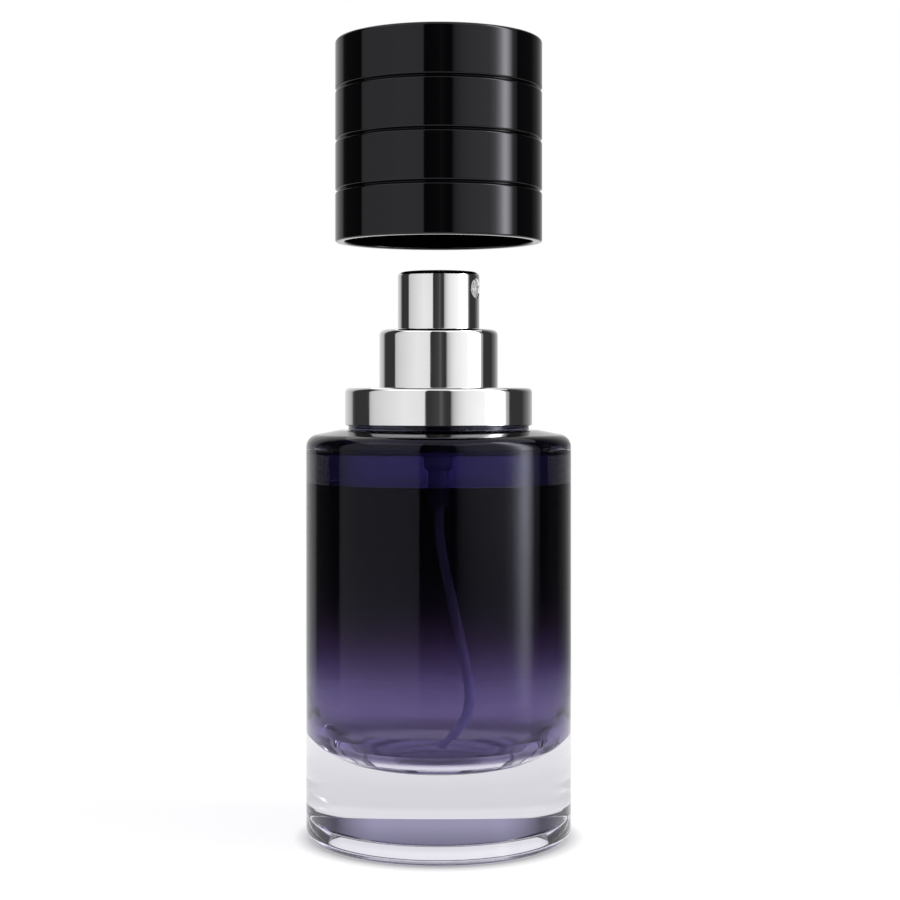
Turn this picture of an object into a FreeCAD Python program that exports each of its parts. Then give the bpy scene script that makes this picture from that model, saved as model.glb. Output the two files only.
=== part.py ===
import FreeCAD, Part
import math
import os
import re

import Sketcher

# Round aftershave bottle with a crimped fine-mist pump and a lift-off cap.
# Millimetres, +Z up, the foot of the glass at z = 0, the axis at x = y = 0, the nozzle towards +X.
# The cap stands where it is lifted to, straight above the button.

Vector = FreeCAD.Vector

# Sizes that can be set by themselves.
SIZES = {
    # glass
    "bottle_radius": 23.0,
    "shoulder_height": 69.5,
    "wall_thickness": 4.0,
    "base_thickness": 13.1,
    "shoulder_thickness": 1.2,
    "shoulder_round": 2.2,
    "heel_round": 2.0,
    "floor_round": 12.9,
    "roof_round": 2.0,
    "foot_width": 6.0,
    "punt_depth": 2.5,
    "punt_draft": 0.3,
    "punt_round": 0.6,
    "land_overhang": 0.95,
    "land_height": 1.1,
    "land_round": 0.3,
    "seat_inset": 0.55,
    "seat_height": 0.8,
    "neck_height": 8.9,
    "neck_wall": 1.8,
    "bead_overhang": 0.9,
    "bead_height": 3.2,
    "bead_round": 0.7,
    "bore_gap": 0.9,
    # liquid
    "headspace": 6.9,
    "liquid_gap": 0.05,
    # pump housing and inlet valve
    "cylinder_radius": 3.0,
    "barrel_wall": 0.9,
    "barrel_depth": 12.3,
    "seal_ledge": 0.4,
    "flange_overhang": 1.6,
    "flange_thickness": 0.7,
    "floor_chamfer": 0.6,
    "cone_rise": 0.6,
    "roof_thickness": 1.0,
    "outlet_radius": 0.75,
    "ball_radius": 1.0,
    "ball_lift": 0.6,
    "ball_gap": 0.25,
    "chamber_wall": 0.85,
    "inlet_radius": 0.6,
    "inlet_length": 0.85,
    "tail_length": 5.7,
    "tail_wall": 0.72,
    # dip tube
    "tube_radius": 0.7,
    "tube_wall": 0.25,
    "tube_lead": 2.0,
    "tube_upper_bend": 36.0,
    "tube_upper_angle": 10.5,
    "tube_lower_bend": 16.5,
    "tube_lower_angle": 39.0,
    "tube_end": 1.0,
    "tube_clearance": 1.6,
    # turret, seals and crimp
    "gasket_thickness": 0.8,
    "gasket_inset": 0.3,
    "turret_depth": 0.9,
    "turret_overhang": 1.1,
    "turret_flange": 0.7,
    "turret_nose_wall": 1.6,
    "turret_rise": 1.4,
    "seal_thickness": 0.7,
    "ferrule_wall": 0.4,
    "crimp_depth": 0.7,
    "ferrule_round": 0.6,
    # stem, piston and spring
    "stem_radius": 1.7,
    "stem_bore": 0.65,
    "stem_stop_width": 0.7,
    "stem_stop_height": 0.6,
    "post_radius": 1.15,
    "post_length": 2.4,
    "post_groove": 0.5,
    "piston_height": 2.0,
    "piston_lip": 0.55,
    "piston_waist": 0.4,
    "piston_lag": 0.5,
    "head_height": 1.15,
    "spigot_length": 1.0,
    "spring_wire": 0.4,
    "spring_gap": 0.65,
    "spring_guide_gap": 0.4,
    "spring_turns": 4.5,
    "stroke": 4.0,
    "press_gap": 0.3,
    # shoulder ring and collar
    "ring_step": 5.95,
    "ring_height": 6.5,
    "ring_wall": 0.8,
    "ring_round": 0.8,
    "ring_hub_gap": 0.4,
    "insert_wall": 1.2,
    "insert_ribs": 8,
    "rib_width": 1.0,
    "collar_depth": 1.75,
    "collar_sleeve": 0.7,
    "collar_wall": 0.5,
    "collar_round": 1.0,
    "skirt_overlap": 2.7,
    # button and nozzle
    "button_radius": 7.1,
    "button_wall": 0.4,
    "button_round": 0.8,
    "button_rise": 10.0,
    "button_gap": 0.22,
    "core_wall": 0.9,
    "core_chamfer": 0.7,
    "socket_depth": 4.5,
    "socket_wall": 1.1,
    "web_drop": 0.6,
    "nozzle_drop": 3.0,
    "nozzle_radius": 1.65,
    "nozzle_recess": 0.5,
    "nozzle_length": 2.4,
    "nozzle_front": 0.8,
    "nozzle_dish_depth": 0.4,
    "nozzle_dish_radius": 0.95,
    "orifice_radius": 0.15,
    "spinner_radius": 0.85,
    "spinner_gap": 0.12,
    "feed_radius": 0.55,
    # cap
    "cap_wall": 1.6,
    "cap_top_wall": 1.85,
    "cap_gap": 0.15,
    "cap_round": 0.6,
    "cap_mouth_round": 0.35,
    "cap_headroom": 4.4,
    "cap_rest_gap": 0.05,
    "cap_lift": 32.55,
    "cap_bands": 4,
    "groove_depth": 0.45,
    "groove_half": 0.4,
    "groove_round": 0.2,
    "liner_top": 1.4,
    "sleeve_wall": 1.0,
    "sleeve_gap": 0.2,
    "sleeve_clearance": 1.5,
    "grip_ribs": 6,
    "grip_gap": 0.08,
    # fits
    "fit_gap": 0.05,
    "slide_gap": 0.05,
    "seat_gap": 0.05,
}

# Sizes worked out from those above, each once, so that mating pieces share them.
DERIVED = {
    "barrel_radius": "cylinder_radius + barrel_wall",
    "bore_radius": "barrel_radius + bore_gap",
    "neck_radius": "bore_radius + neck_wall",
    "bead_radius": "neck_radius + bead_overhang",
    "ferrule_bore": "bead_radius + fit_gap",
    "ferrule_radius": "ferrule_bore + ferrule_wall",
    "collar_insert_radius": "ferrule_radius + fit_gap + collar_depth",
    "collar_bore": "collar_insert_radius + fit_gap",
    "collar_radius": "collar_bore + collar_wall",
    "ring_radius": "collar_radius + ring_step",
    "ring_bore": "ring_radius - ring_wall",
    "ring_hole": "ferrule_radius + ring_hub_gap",
    "seat_radius": "ring_radius - seat_inset",
    "land_radius": "ring_radius + land_overhang",
    "cap_bore": "ring_radius + cap_gap",
    "cap_radius": "cap_bore + cap_wall",
    "cavity_radius": "bottle_radius - wall_thickness",
    "punt_radius": "bottle_radius - heel_round - foot_width",
    "roof_height": "shoulder_height - shoulder_thickness",
    "land_top": "shoulder_height + land_height",
    "seat_top": "land_top + seat_height",
    "lip_height": "shoulder_height + neck_height",
    "bead_bottom": "lip_height - bead_height",
    "liquid_level": "roof_height - headspace",
    "gasket_top": "lip_height + gasket_thickness",
    "flange_top": "gasket_top + flange_thickness",
    "flange_radius": "bore_radius + flange_overhang",
    "turret_flange_top": "flange_top + turret_flange",
    "turret_flange_radius": "barrel_radius + turret_overhang",
    "ferrule_top": "turret_flange_top + ferrule_wall",
    "turret_bore": "stem_radius + slide_gap",
    "turret_nose_radius": "turret_bore + turret_nose_wall",
    "turret_top": "ferrule_top + turret_rise",
    "turret_bottom": "flange_top - turret_depth",
    "seal_bottom": "turret_bottom - seal_thickness",
    "seal_bore": "cylinder_radius + seal_ledge",
    "stop_top": "seal_bottom - seat_gap",
    "stop_bottom": "stop_top - stem_stop_height",
    "stop_radius": "stem_radius + stem_stop_width",
    "piston_top": "stop_bottom - seat_gap - piston_lag",
    "piston_bottom": "piston_top - piston_height",
    "piston_radius": "cylinder_radius - slide_gap",
    "head_top": "piston_bottom - seat_gap",
    "head_bottom": "head_top - head_height",
    "barrel_floor": "flange_top - barrel_depth",
    "spring_radius": "cylinder_radius - spring_gap",
    "spring_mean": "spring_radius - spring_wire / 2",
    "spigot_radius": "spring_radius - spring_wire - spring_guide_gap",
    "chamber_bore": "ball_radius + ball_gap",
    "chamber_radius": "chamber_bore + chamber_wall",
    "chamber_roof": "barrel_floor - roof_thickness",
    "ball_centre": "chamber_roof - seat_gap - ball_lift - ball_radius",
    "seat_apex": "ball_centre - sqrt(2) * (ball_radius + seat_gap)",
    "seat_bottom": "seat_apex + inlet_radius",
    "socket_top": "seat_bottom - inlet_length",
    "tail_bottom": "socket_top - tail_length",
    "tail_bore": "tube_radius + fit_gap",
    "tail_radius": "tail_bore + tail_wall",
    "bend_height": "tail_bottom - tube_lead",
    "tube_foot": "base_thickness + tube_clearance",
    "upper_sine": "sin(tube_upper_angle)",
    "upper_cosine": "cos(tube_upper_angle)",
    "lower_sine": "sin(tube_lower_angle)",
    "lower_cosine": "cos(tube_lower_angle)",
    "upper_drop": "tube_upper_bend * upper_sine",
    "lower_drop": "tube_lower_bend * (upper_sine + lower_sine) + tube_end * lower_cosine",
    "tube_run": "(bend_height - tube_foot - upper_drop - lower_drop) / upper_cosine",
    "ring_top": "seat_top + ring_height",
    "ring_under": "ring_top - ring_wall",
    "button_bottom": "ferrule_top + press_gap + stroke",
    "hub_bottom": "turret_top + press_gap + stroke",
    "stem_top": "hub_bottom + socket_depth",
    "collar_top": "button_bottom + skirt_overlap",
    "button_top": "collar_top + button_rise",
    "button_bore": "button_radius - button_wall",
    "core_radius": "button_bore - fit_gap",
    "core_top": "button_top - button_wall - fit_gap",
    "web_bottom": "stem_top - web_drop",
    "stem_socket": "stem_radius + fit_gap",
    "nozzle_height": "button_top - nozzle_drop",
    "nozzle_face": "button_radius - nozzle_recess",
    "nozzle_back": "nozzle_face - nozzle_length",
    "spinner_tip": "nozzle_face - nozzle_front - spinner_gap",
    "feed_top": "nozzle_height - (spinner_radius + nozzle_radius) / 2",
    "cap_seat": "land_top + cap_rest_gap",
    "cap_height": "button_top - cap_seat + cap_headroom + liner_top + cap_top_wall",
    "cap_bottom": "cap_seat + cap_lift",
    "cap_top": "cap_bottom + cap_height",
    "cap_under": "cap_top - cap_top_wall",
    "cap_band": "cap_height / cap_bands",
    "liner_under": "cap_under - liner_top",
    "sleeve_bore": "collar_radius + sleeve_gap",
    "sleeve_bottom": "cap_bottom + ring_top - cap_seat + sleeve_clearance",
}

doc = FreeCAD.newDocument("aftershave_bottle")
sheet = doc.addObject("Spreadsheet::Sheet", "Sizes")


def fill_sheet():
    """Write the driving sizes as numbers and the worked-out sizes as formulas, each with its name."""
    row = 0
    for name, value in SIZES.items():
        row += 1
        sheet.set(f"A{row}", name)
        sheet.set(f"B{row}", str(value))
        sheet.setAlias(f"B{row}", name)
    for name, text in DERIVED.items():
        row += 1
        sheet.set(f"A{row}", name)
        sheet.set(f"B{row}", "=" + text)
        sheet.setAlias(f"B{row}", name)
    doc.recompute()


def bound(text):
    """Turn a formula in size names into an expression on the sheet."""
    def prefix(match):
        word = match.group()
        return f"Sizes.{word}" if word in SIZES or word in DERIVED else word
    return re.sub(r"[a-z_]+", prefix, text)


def number(text):
    """Value of a formula in size names, in millimetres."""
    return float(sheet.evalExpression(bound(text)))


def origin_feature(body, role):
    """Plane or axis of a body's own origin."""
    return [item for item in body.Origin.OriginFeatures if item.Role == role][0]


def new_body(label):
    """Empty body with the label of its sub-part."""
    body = doc.addObject("PartDesign::Body", label)
    body.Label = label
    return body


def new_sketch(body, name, role, offset="0"):
    """Sketch on a plane of the body's origin, moved along its normal by a formula."""
    sketch = body.newObject("Sketcher::SketchObject", name)
    sketch.AttachmentSupport = [(origin_feature(body, role), "")]
    sketch.MapMode = "FlatFace"
    if offset != "0":
        sketch.setExpression("AttachmentOffset.Base.z", bound(offset))
    return sketch


def tie(sketch, constraint, text):
    """Add a constraint whose size is a formula."""
    index = sketch.addConstraint(constraint)
    sketch.setExpression(f"Constraints[{index}]", bound(text))


def pin_point(sketch, edge, end, across, up):
    """Hold one end of an edge at two formulas from the origin of the sketch."""
    for kind, axis, text in (("DistanceX", -2, across), ("DistanceY", -1, up)):
        if text == "0":
            sketch.addConstraint(Sketcher.Constraint("PointOnObject", edge, end, axis))
        else:
            tie(sketch, Sketcher.Constraint(kind, -1, 1, edge, end, number(text)), text)


def draw_polygon(sketch, corners):
    """Closed outline whose corners are pairs of formulas."""
    points = [Vector(number(across), number(up), 0) for across, up in corners]
    count = len(points)
    for index in range(count):
        sketch.addGeometry(Part.LineSegment(points[index], points[(index + 1) % count]))
    for index in range(count):
        following = (index + 1) % count
        sketch.addConstraint(Sketcher.Constraint("Coincident", index, 2, following, 1))
    for index, (across, up) in enumerate(corners):
        pin_point(sketch, index, 1, across, up)


def draw_circle(sketch, across, up, radius):
    """Circle with its centre and radius held by formulas."""
    centre = Vector(number(across), number(up), 0)
    index = sketch.addGeometry(Part.Circle(centre, Vector(0, 0, 1), number(radius)))
    pin_point(sketch, index, 3, across, up)
    tie(sketch, Sketcher.Constraint("Radius", index, number(radius)), radius)


def draw_bar(sketch, inner, outer, width):
    """Rectangle along the sketch's first axis, centred on it."""
    start = number(inner)
    end = number(outer)
    half = number(width) / 2
    points = [
        Vector(start, -half, 0),
        Vector(end, -half, 0),
        Vector(end, half, 0),
        Vector(start, half, 0),
    ]
    for index in range(4):
        sketch.addGeometry(Part.LineSegment(points[index], points[(index + 1) % 4]))
    for index in range(4):
        sketch.addConstraint(Sketcher.Constraint("Coincident", index, 2, (index + 1) % 4, 1))
    sketch.addConstraint(Sketcher.Constraint("Horizontal", 0))
    sketch.addConstraint(Sketcher.Constraint("Symmetric", 0, 1, 3, 1, -1))
    sketch.addConstraint(Sketcher.Constraint("Symmetric", 0, 2, 2, 1, -1))
    tie(sketch, Sketcher.Constraint("DistanceX", -1, 1, 0, 1, start), inner)
    tie(sketch, Sketcher.Constraint("DistanceX", -1, 1, 0, 2, end), outer)
    tie(sketch, Sketcher.Constraint("DistanceY", 0, 1, 3, 1, 2 * half), width)


def turned(label, corners):
    """Body turned from a half-section of (radius, height) corners."""
    body = new_body(label)
    sketch = new_sketch(body, f"{label}_section", "XZ_Plane")
    draw_polygon(sketch, corners)
    turn = body.newObject("PartDesign::Revolution", f"{label}_turn")
    turn.Profile = sketch
    turn.ReferenceAxis = (sketch, ["V_Axis"])
    turn.Angle = 360
    doc.recompute()
    return body


def round_rings(body, name, radius, rings):
    """Round the circular edges at the given (radius, height) pairs."""
    base = body.Tip
    names = []
    for across, up in rings:
        ring_radius = number(across)
        ring_height = number(up)
        for index, edge in enumerate(base.Shape.Edges):
            curve = edge.Curve
            if not isinstance(curve, Part.Circle):
                continue
            off_axis = math.hypot(curve.Center.x, curve.Center.y)
            size_error = abs(curve.Radius - ring_radius)
            height_error = abs(curve.Center.z - ring_height)
            if max(off_axis, size_error, height_error) < 1e-4:
                names.append(f"Edge{index + 1}")
    if not names:
        raise RuntimeError(f"{name}: no edge to round")
    fillet = body.newObject("PartDesign::Fillet", name)
    fillet.Base = (base, names)
    fillet.setExpression("Radius", bound(radius))
    doc.recompute()


def padded(body, sketch, name, length):
    """Pad of a sketch along its normal."""
    pad = body.newObject("PartDesign::Pad", name)
    pad.Profile = sketch
    pad.setExpression("Length", bound(length))
    doc.recompute()
    return pad


def pocketed(body, sketch, name, length, forward):
    """Pocket along the sketch's normal when forward, else against it, checked to take material off."""
    before = body.Tip.Shape.Volume
    pocket = body.newObject("PartDesign::Pocket", name)
    pocket.Profile = sketch
    pocket.Reversed = forward
    pocket.setExpression("Length", bound(length))
    doc.recompute()
    if pocket.Shape.Volume >= before:
        raise RuntimeError(f"{name}: the pocket takes nothing off")
    return pocket


def repeat_round(body, feature, name, count):
    """Repeat a feature round the body's axis."""
    pattern = body.newObject("PartDesign::PolarPattern", name)
    pattern.Originals = [feature]
    pattern.Axis = (origin_feature(body, "Z_Axis"), [""])
    pattern.Angle = 360
    pattern.setExpression("Occurrences", bound(count))
    body.Tip = pattern
    doc.recompute()


def add_ribs(body, name, inner, outer, width, base, length, count):
    """Radial ribs standing on a height, repeated round the axis."""
    sketch = new_sketch(body, f"{name}_section", "XY_Plane", base)
    draw_bar(sketch, inner, outer, width)
    rib = padded(body, sketch, name, length)
    repeat_round(body, rib, f"{name}_pattern", count)


def draw_tube_path(sketch, end):
    """Centre line of the dip tube: down, over to +X, and back under itself."""
    upper = number("tube_upper_bend")
    lower = number("tube_lower_bend")
    lean = math.radians(number("tube_upper_angle"))
    hook = math.radians(number("tube_lower_angle"))
    run = number("tube_run")
    top = Vector(0, number("socket_top"), 0)
    bend = Vector(0, number("bend_height"), 0)
    upper_centre = bend + Vector(upper, 0, 0)
    lean_start = upper_centre - Vector(upper * math.cos(lean), upper * math.sin(lean), 0)
    lean_end = lean_start + Vector(run * math.sin(lean), -run * math.cos(lean), 0)
    lower_centre = lean_end - Vector(lower * math.cos(lean), lower * math.sin(lean), 0)
    hook_start = lower_centre + Vector(lower * math.cos(hook), -lower * math.sin(hook), 0)
    tip = number(end)
    foot = hook_start - Vector(tip * math.sin(hook), tip * math.cos(hook), 0)
    normal = Vector(0, 0, 1)
    sketch.addGeometry(Part.LineSegment(top, bend))
    circle = Part.Circle(upper_centre, normal, upper)
    sketch.addGeometry(Part.ArcOfCircle(circle, math.pi, math.pi + lean))
    sketch.addGeometry(Part.LineSegment(lean_start, lean_end))
    circle = Part.Circle(lower_centre, normal, lower)
    sketch.addGeometry(Part.ArcOfCircle(circle, -hook, lean))
    sketch.addGeometry(Part.LineSegment(hook_start, foot))
    pin_point(sketch, 0, 1, "0", "socket_top")
    pin_point(sketch, 0, 2, "0", "bend_height")
    for first, first_end, second, second_end in ((0, 2, 1, 1), (1, 2, 2, 1), (2, 2, 3, 2), (3, 1, 4, 1)):
        sketch.addConstraint(Sketcher.Constraint("Tangent", first, first_end, second, second_end))
    tie(sketch, Sketcher.Constraint("Radius", 1, upper), "tube_upper_bend")
    tie(sketch, Sketcher.Constraint("Radius", 3, lower), "tube_lower_bend")
    drop = lean_start.y - lean_end.y
    reach = lean_end.x - lean_start.x
    tie(sketch, Sketcher.Constraint("DistanceX", 2, 1, 2, 2, reach), "tube_run * upper_sine")
    tie(sketch, Sketcher.Constraint("DistanceY", 2, 2, 2, 1, drop), "tube_run * upper_cosine")
    tip_run = hook_start - foot
    tie(sketch, Sketcher.Constraint("DistanceX", 4, 2, 4, 1, tip_run.x), f"{end} * lower_sine")
    tie(sketch, Sketcher.Constraint("DistanceY", 4, 2, 4, 1, tip_run.y), f"{end} * lower_cosine")


def swept(body, kind, name, radii, end):
    """Sweep circles of the given radii along the dip tube's centre line."""
    path = new_sketch(body, f"{name}_path", "XZ_Plane")
    draw_tube_path(path, end)
    profile = new_sketch(body, f"{name}_ring", "XY_Plane", "socket_top")
    for radius in radii:
        draw_circle(profile, "0", "0", radius)
    doc.recompute()
    pipe = body.newObject(kind, name)
    pipe.Profile = profile
    pipe.Spine = (path, [f"Edge{index + 1}" for index in range(5)])
    doc.recompute()


def make_glass_bottle():
    """Bottle with a thick base, a sloped shoulder that rises to a land, and a beaded neck."""
    body = turned("glass_bottle", [
        ("0", "punt_depth"),
        ("punt_radius - punt_draft", "punt_depth"),
        ("punt_radius", "0"),
        ("bottle_radius", "0"),
        ("bottle_radius", "shoulder_height"),
        ("land_radius", "land_top"),
        ("seat_radius", "land_top"),
        ("seat_radius", "seat_top"),
        ("neck_radius", "seat_top"),
        ("neck_radius", "bead_bottom"),
        ("bead_radius", "bead_bottom"),
        ("bead_radius", "lip_height"),
        ("bore_radius", "lip_height"),
        ("bore_radius", "roof_height"),
        ("cavity_radius", "roof_height"),
        ("cavity_radius", "base_thickness"),
        ("0", "base_thickness"),
    ])
    room = "(bottle_radius - land_radius)"
    shoulder_round = f"min(shoulder_round; 0.8 * {room})"
    round_rings(body, "punt_fillet", "punt_round", [("punt_radius - punt_draft", "punt_depth")])
    round_rings(body, "shoulder_fillet", shoulder_round, [("bottle_radius", "shoulder_height")])
    round_rings(body, "heel_fillet", "heel_round", [("bottle_radius", "0")])
    round_rings(body, "floor_fillet", "floor_round", [("cavity_radius", "base_thickness")])
    round_rings(body, "roof_fillet", "roof_round", [("cavity_radius", "roof_height")])
    round_rings(body, "land_fillet", "land_round", [("land_radius", "land_top")])
    bead_edges = [("bead_radius", "bead_bottom"), ("bead_radius", "lip_height")]
    round_rings(body, "bead_fillet", "bead_round", bead_edges)
    return body


def make_liquid_fill():
    """Liquid up to its level, cut clear of the tail and the dip tube."""
    radius = "cavity_radius - liquid_gap"
    body = turned("liquid_fill", [
        ("0", "base_thickness + liquid_gap"),
        (radius, "base_thickness + liquid_gap"),
        (radius, "liquid_level"),
        ("tail_radius + liquid_gap", "liquid_level"),
        ("tail_radius + liquid_gap", "tail_bottom - liquid_gap"),
        ("0", "tail_bottom - liquid_gap"),
    ])
    floor_edge = [(radius, "base_thickness + liquid_gap")]
    round_rings(body, "liquid_fillet", "floor_round - liquid_gap", floor_edge)
    clear_radii = ["tube_radius + liquid_gap"]
    clear_end = "(tube_end + liquid_gap)"
    swept(body, "PartDesign::SubtractivePipe", "tube_clear", clear_radii, clear_end)
    return body


def make_pump_housing():
    """Pump barrel with its flange, the inlet valve chamber and the tail that holds the dip tube."""
    return turned("pump_housing", [
        ("seal_bore", "flange_top"),
        ("flange_radius", "flange_top"),
        ("flange_radius", "gasket_top"),
        ("barrel_radius", "gasket_top"),
        ("barrel_radius", "barrel_floor + cone_rise"),
        ("chamber_radius", "barrel_floor + cone_rise - (barrel_radius - chamber_radius)"),
        ("chamber_radius", "seat_bottom + 0.3"),
        ("tail_radius", "seat_bottom - 0.4"),
        ("tail_radius", "tail_bottom"),
        ("tail_bore", "tail_bottom"),
        ("tail_bore", "socket_top"),
        ("inlet_radius", "socket_top"),
        ("inlet_radius", "seat_bottom"),
        ("chamber_bore", "seat_apex + chamber_bore"),
        ("chamber_bore", "chamber_roof"),
        ("outlet_radius", "chamber_roof"),
        ("outlet_radius", "barrel_floor"),
        ("cylinder_radius - floor_chamfer", "barrel_floor"),
        ("cylinder_radius", "barrel_floor + floor_chamfer"),
        ("cylinder_radius", "seal_bottom"),
        ("seal_bore", "seal_bottom"),
    ])


def make_inlet_ball():
    """Ball of the inlet valve, resting just over its conical seat."""
    ball = doc.addObject("Part::Sphere", "inlet_ball")
    ball.Label = "inlet_ball"
    ball.setExpression("Radius", bound("ball_radius"))
    ball.setExpression("Placement.Base.z", bound("ball_centre"))
    return ball


def make_dip_tube():
    """Bowed tube from the tail to just over the floor of the bottle."""
    body = new_body("dip_tube")
    tube_radii = ["tube_radius", "tube_radius - tube_wall"]
    swept(body, "PartDesign::AdditivePipe", "tube_sweep", tube_radii, "tube_end")
    return body


def make_neck_gasket():
    """Washer between the lip of the glass and the flange of the housing."""
    return turned("neck_gasket", [
        ("barrel_radius + fit_gap", "lip_height"),
        ("bead_radius - gasket_inset", "lip_height"),
        ("bead_radius - gasket_inset", "gasket_top"),
        ("barrel_radius + fit_gap", "gasket_top"),
    ])


def make_stem_seal():
    """Washer on the ledge of the barrel, against which the stem's stop closes."""
    return turned("stem_seal", [
        ("turret_bore", "seal_bottom"),
        ("seal_bore - fit_gap", "seal_bottom"),
        ("seal_bore - fit_gap", "turret_bottom"),
        ("turret_bore", "turret_bottom"),
    ])


def make_pump_turret():
    """Guide of the stem: plug in the barrel, flange under the ferrule, nose through it."""
    return turned("pump_turret", [
        ("turret_bore", "turret_bottom"),
        ("seal_bore - fit_gap", "turret_bottom"),
        ("seal_bore - fit_gap", "flange_top"),
        ("turret_flange_radius", "flange_top"),
        ("turret_flange_radius", "turret_flange_top"),
        ("turret_nose_radius", "turret_flange_top"),
        ("turret_nose_radius", "turret_top"),
        ("turret_bore", "turret_top"),
    ])


def make_crimp_ferrule():
    """Aluminium cup over the flanges, turned in under the bead of the neck."""
    body = turned("crimp_ferrule", [
        ("turret_nose_radius + fit_gap", "turret_flange_top"),
        ("ferrule_bore", "turret_flange_top"),
        ("ferrule_bore", "bead_bottom - fit_gap"),
        ("bead_radius - crimp_depth", "bead_bottom - fit_gap"),
        ("bead_radius - crimp_depth", "bead_bottom - fit_gap - ferrule_wall"),
        ("ferrule_radius", "bead_bottom - fit_gap - ferrule_wall"),
        ("ferrule_radius", "ferrule_top"),
        ("turret_nose_radius + fit_gap", "ferrule_top"),
    ])
    edges = [("ferrule_radius", "ferrule_top"), ("ferrule_radius", "bead_bottom - fit_gap - ferrule_wall")]
    round_rings(body, "ferrule_fillet", "min(ferrule_round; 1.5 * ferrule_wall)", edges)
    return body


def make_piston_seat():
    """Foot of the stem: spring spigot, head with the piston's seat, and a grooved post."""
    body = turned("piston_seat", [
        ("0", "head_bottom - spigot_length"),
        ("spigot_radius", "head_bottom - spigot_length"),
        ("spigot_radius", "head_bottom"),
        ("spring_radius + spring_wire / 2", "head_bottom"),
        ("spring_radius + spring_wire / 2", "head_top"),
        ("post_radius", "head_top"),
        ("post_radius", "stop_bottom + post_length"),
        ("0", "stop_bottom + post_length"),
    ])
    sketch = new_sketch(body, "post_groove_section", "XY_Plane", "piston_bottom + 0.3")
    draw_bar(sketch, "post_radius - post_groove", "post_radius + 0.2", "post_groove")
    groove = pocketed(body, sketch, "post_flute", "post_length + stop_bottom - piston_bottom", True)
    repeat_round(body, groove, "post_flutes", "3")
    return body


def make_piston():
    """Sliding seal with a lip at each end."""
    bore = "post_radius + slide_gap"
    waist = "piston_radius - piston_waist"
    return turned("piston", [
        (bore, "piston_bottom"),
        ("piston_radius", "piston_bottom"),
        ("piston_radius", "piston_bottom + piston_lip"),
        (waist, "piston_bottom + 1.4 * piston_lip"),
        (waist, "piston_top - 1.4 * piston_lip"),
        ("piston_radius", "piston_top - piston_lip"),
        ("piston_radius", "piston_top"),
        (bore, "piston_top"),
    ])


def make_valve_stem():
    """Hollow stem with the stop that closes on the seal and a socket for the post."""
    socket = "post_radius + fit_gap"
    return turned("valve_stem", [
        (socket, "stop_bottom"),
        ("stop_radius", "stop_bottom"),
        ("stop_radius", "stop_top"),
        ("stem_radius", "stop_top"),
        ("stem_radius", "stem_top"),
        ("stem_bore", "stem_top"),
        ("stem_bore", "stop_bottom + post_length + fit_gap"),
        (socket, "stop_bottom + post_length + fit_gap"),
    ])


def make_return_spring():
    """Coil between the floor of the barrel and the piston seat."""
    body = new_body("return_spring")
    sketch = new_sketch(body, "spring_wire_section", "XZ_Plane")
    draw_circle(sketch, "spring_mean", "barrel_floor + seat_gap + spring_wire / 2", "spring_wire / 2")
    coil = body.newObject("PartDesign::AdditiveHelix", "spring_coil")
    coil.Profile = sketch
    coil.ReferenceAxis = (sketch, ["V_Axis"])
    coil.Mode = "height-turns-angle"
    coil.setExpression("Height", bound("head_bottom - barrel_floor - 2 * seat_gap - spring_wire"))
    coil.setExpression("Turns", bound("spring_turns"))
    doc.recompute()
    return body


def make_ring_insert():
    """Moulding under the shoulder ring: hub round the crimp, rim, top plate and ribs."""
    rim = "ring_bore - fit_gap"
    body = turned("ring_insert", [
        ("ring_hole", "seat_top"),
        ("ring_hole + insert_wall", "seat_top"),
        ("ring_hole + insert_wall", "ring_under - insert_wall"),
        (f"{rim} - insert_wall", "ring_under - insert_wall"),
        (f"{rim} - insert_wall", "seat_top"),
        (rim, "seat_top"),
        (rim, "ring_under - ring_wall"),
        (f"{rim} - ring_wall", "ring_under"),
        ("ring_hole", "ring_under"),
    ])
    add_ribs(
        body, "ring_rib", "ring_hole + insert_wall / 2", f"{rim} - insert_wall / 2", "rib_width",
        "seat_top + 1", "ring_under - insert_wall / 2 - seat_top - 1", "insert_ribs",
    )
    return body


def make_shoulder_ring():
    """Polished ring over the insert, the lowest of the three metal tiers."""
    body = turned("shoulder_ring", [
        ("ring_hole", "ring_under"),
        ("ring_bore", "ring_under"),
        ("ring_bore", "seat_top"),
        ("ring_radius", "seat_top"),
        ("ring_radius", "ring_top"),
        ("ring_hole", "ring_top"),
    ])
    round_rings(body, "ring_fillet", "min(ring_round; 1.3 * ring_wall)", [("ring_radius", "ring_top")])
    round_rings(body, "ring_foot_fillet", "0.3 * ring_wall", [("ring_radius", "seat_top")])
    return body


def make_collar_insert():
    """Sleeve inside the collar, with ribs that hold on the crimp."""
    root = "collar_insert_radius - collar_sleeve"
    body = turned("collar_insert", [
        (root, "ring_top"),
        ("collar_insert_radius", "ring_top"),
        ("collar_insert_radius", "collar_top - collar_wall - collar_round"),
        (root, "collar_top - collar_wall - collar_round"),
    ])
    add_ribs(
        body, "collar_rib", "ferrule_radius + fit_gap", f"{root} + collar_sleeve / 2", "rib_width",
        "ring_top", "ferrule_top - ring_top", "insert_ribs",
    )
    return body


def make_collar_cover():
    """Polished cover over the crimp, the middle tier, open on top for the button."""
    opening = "button_radius + button_gap"
    body = turned("collar_cover", [
        (opening, "collar_top - collar_wall"),
        ("collar_bore", "collar_top - collar_wall"),
        ("collar_bore", "ring_top"),
        ("collar_radius", "ring_top"),
        ("collar_radius", "collar_top"),
        (opening, "collar_top"),
    ])
    collar_inner = [("collar_bore", "collar_top - collar_wall")]
    round_rings(body, "collar_inner_fillet", "0.5 * collar_round", collar_inner)
    round_rings(body, "collar_fillet", "collar_round", [("collar_radius", "collar_top")])
    round_rings(body, "collar_lip_fillet", "0.3 * collar_wall", [(opening, "collar_top")])
    return body


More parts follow.
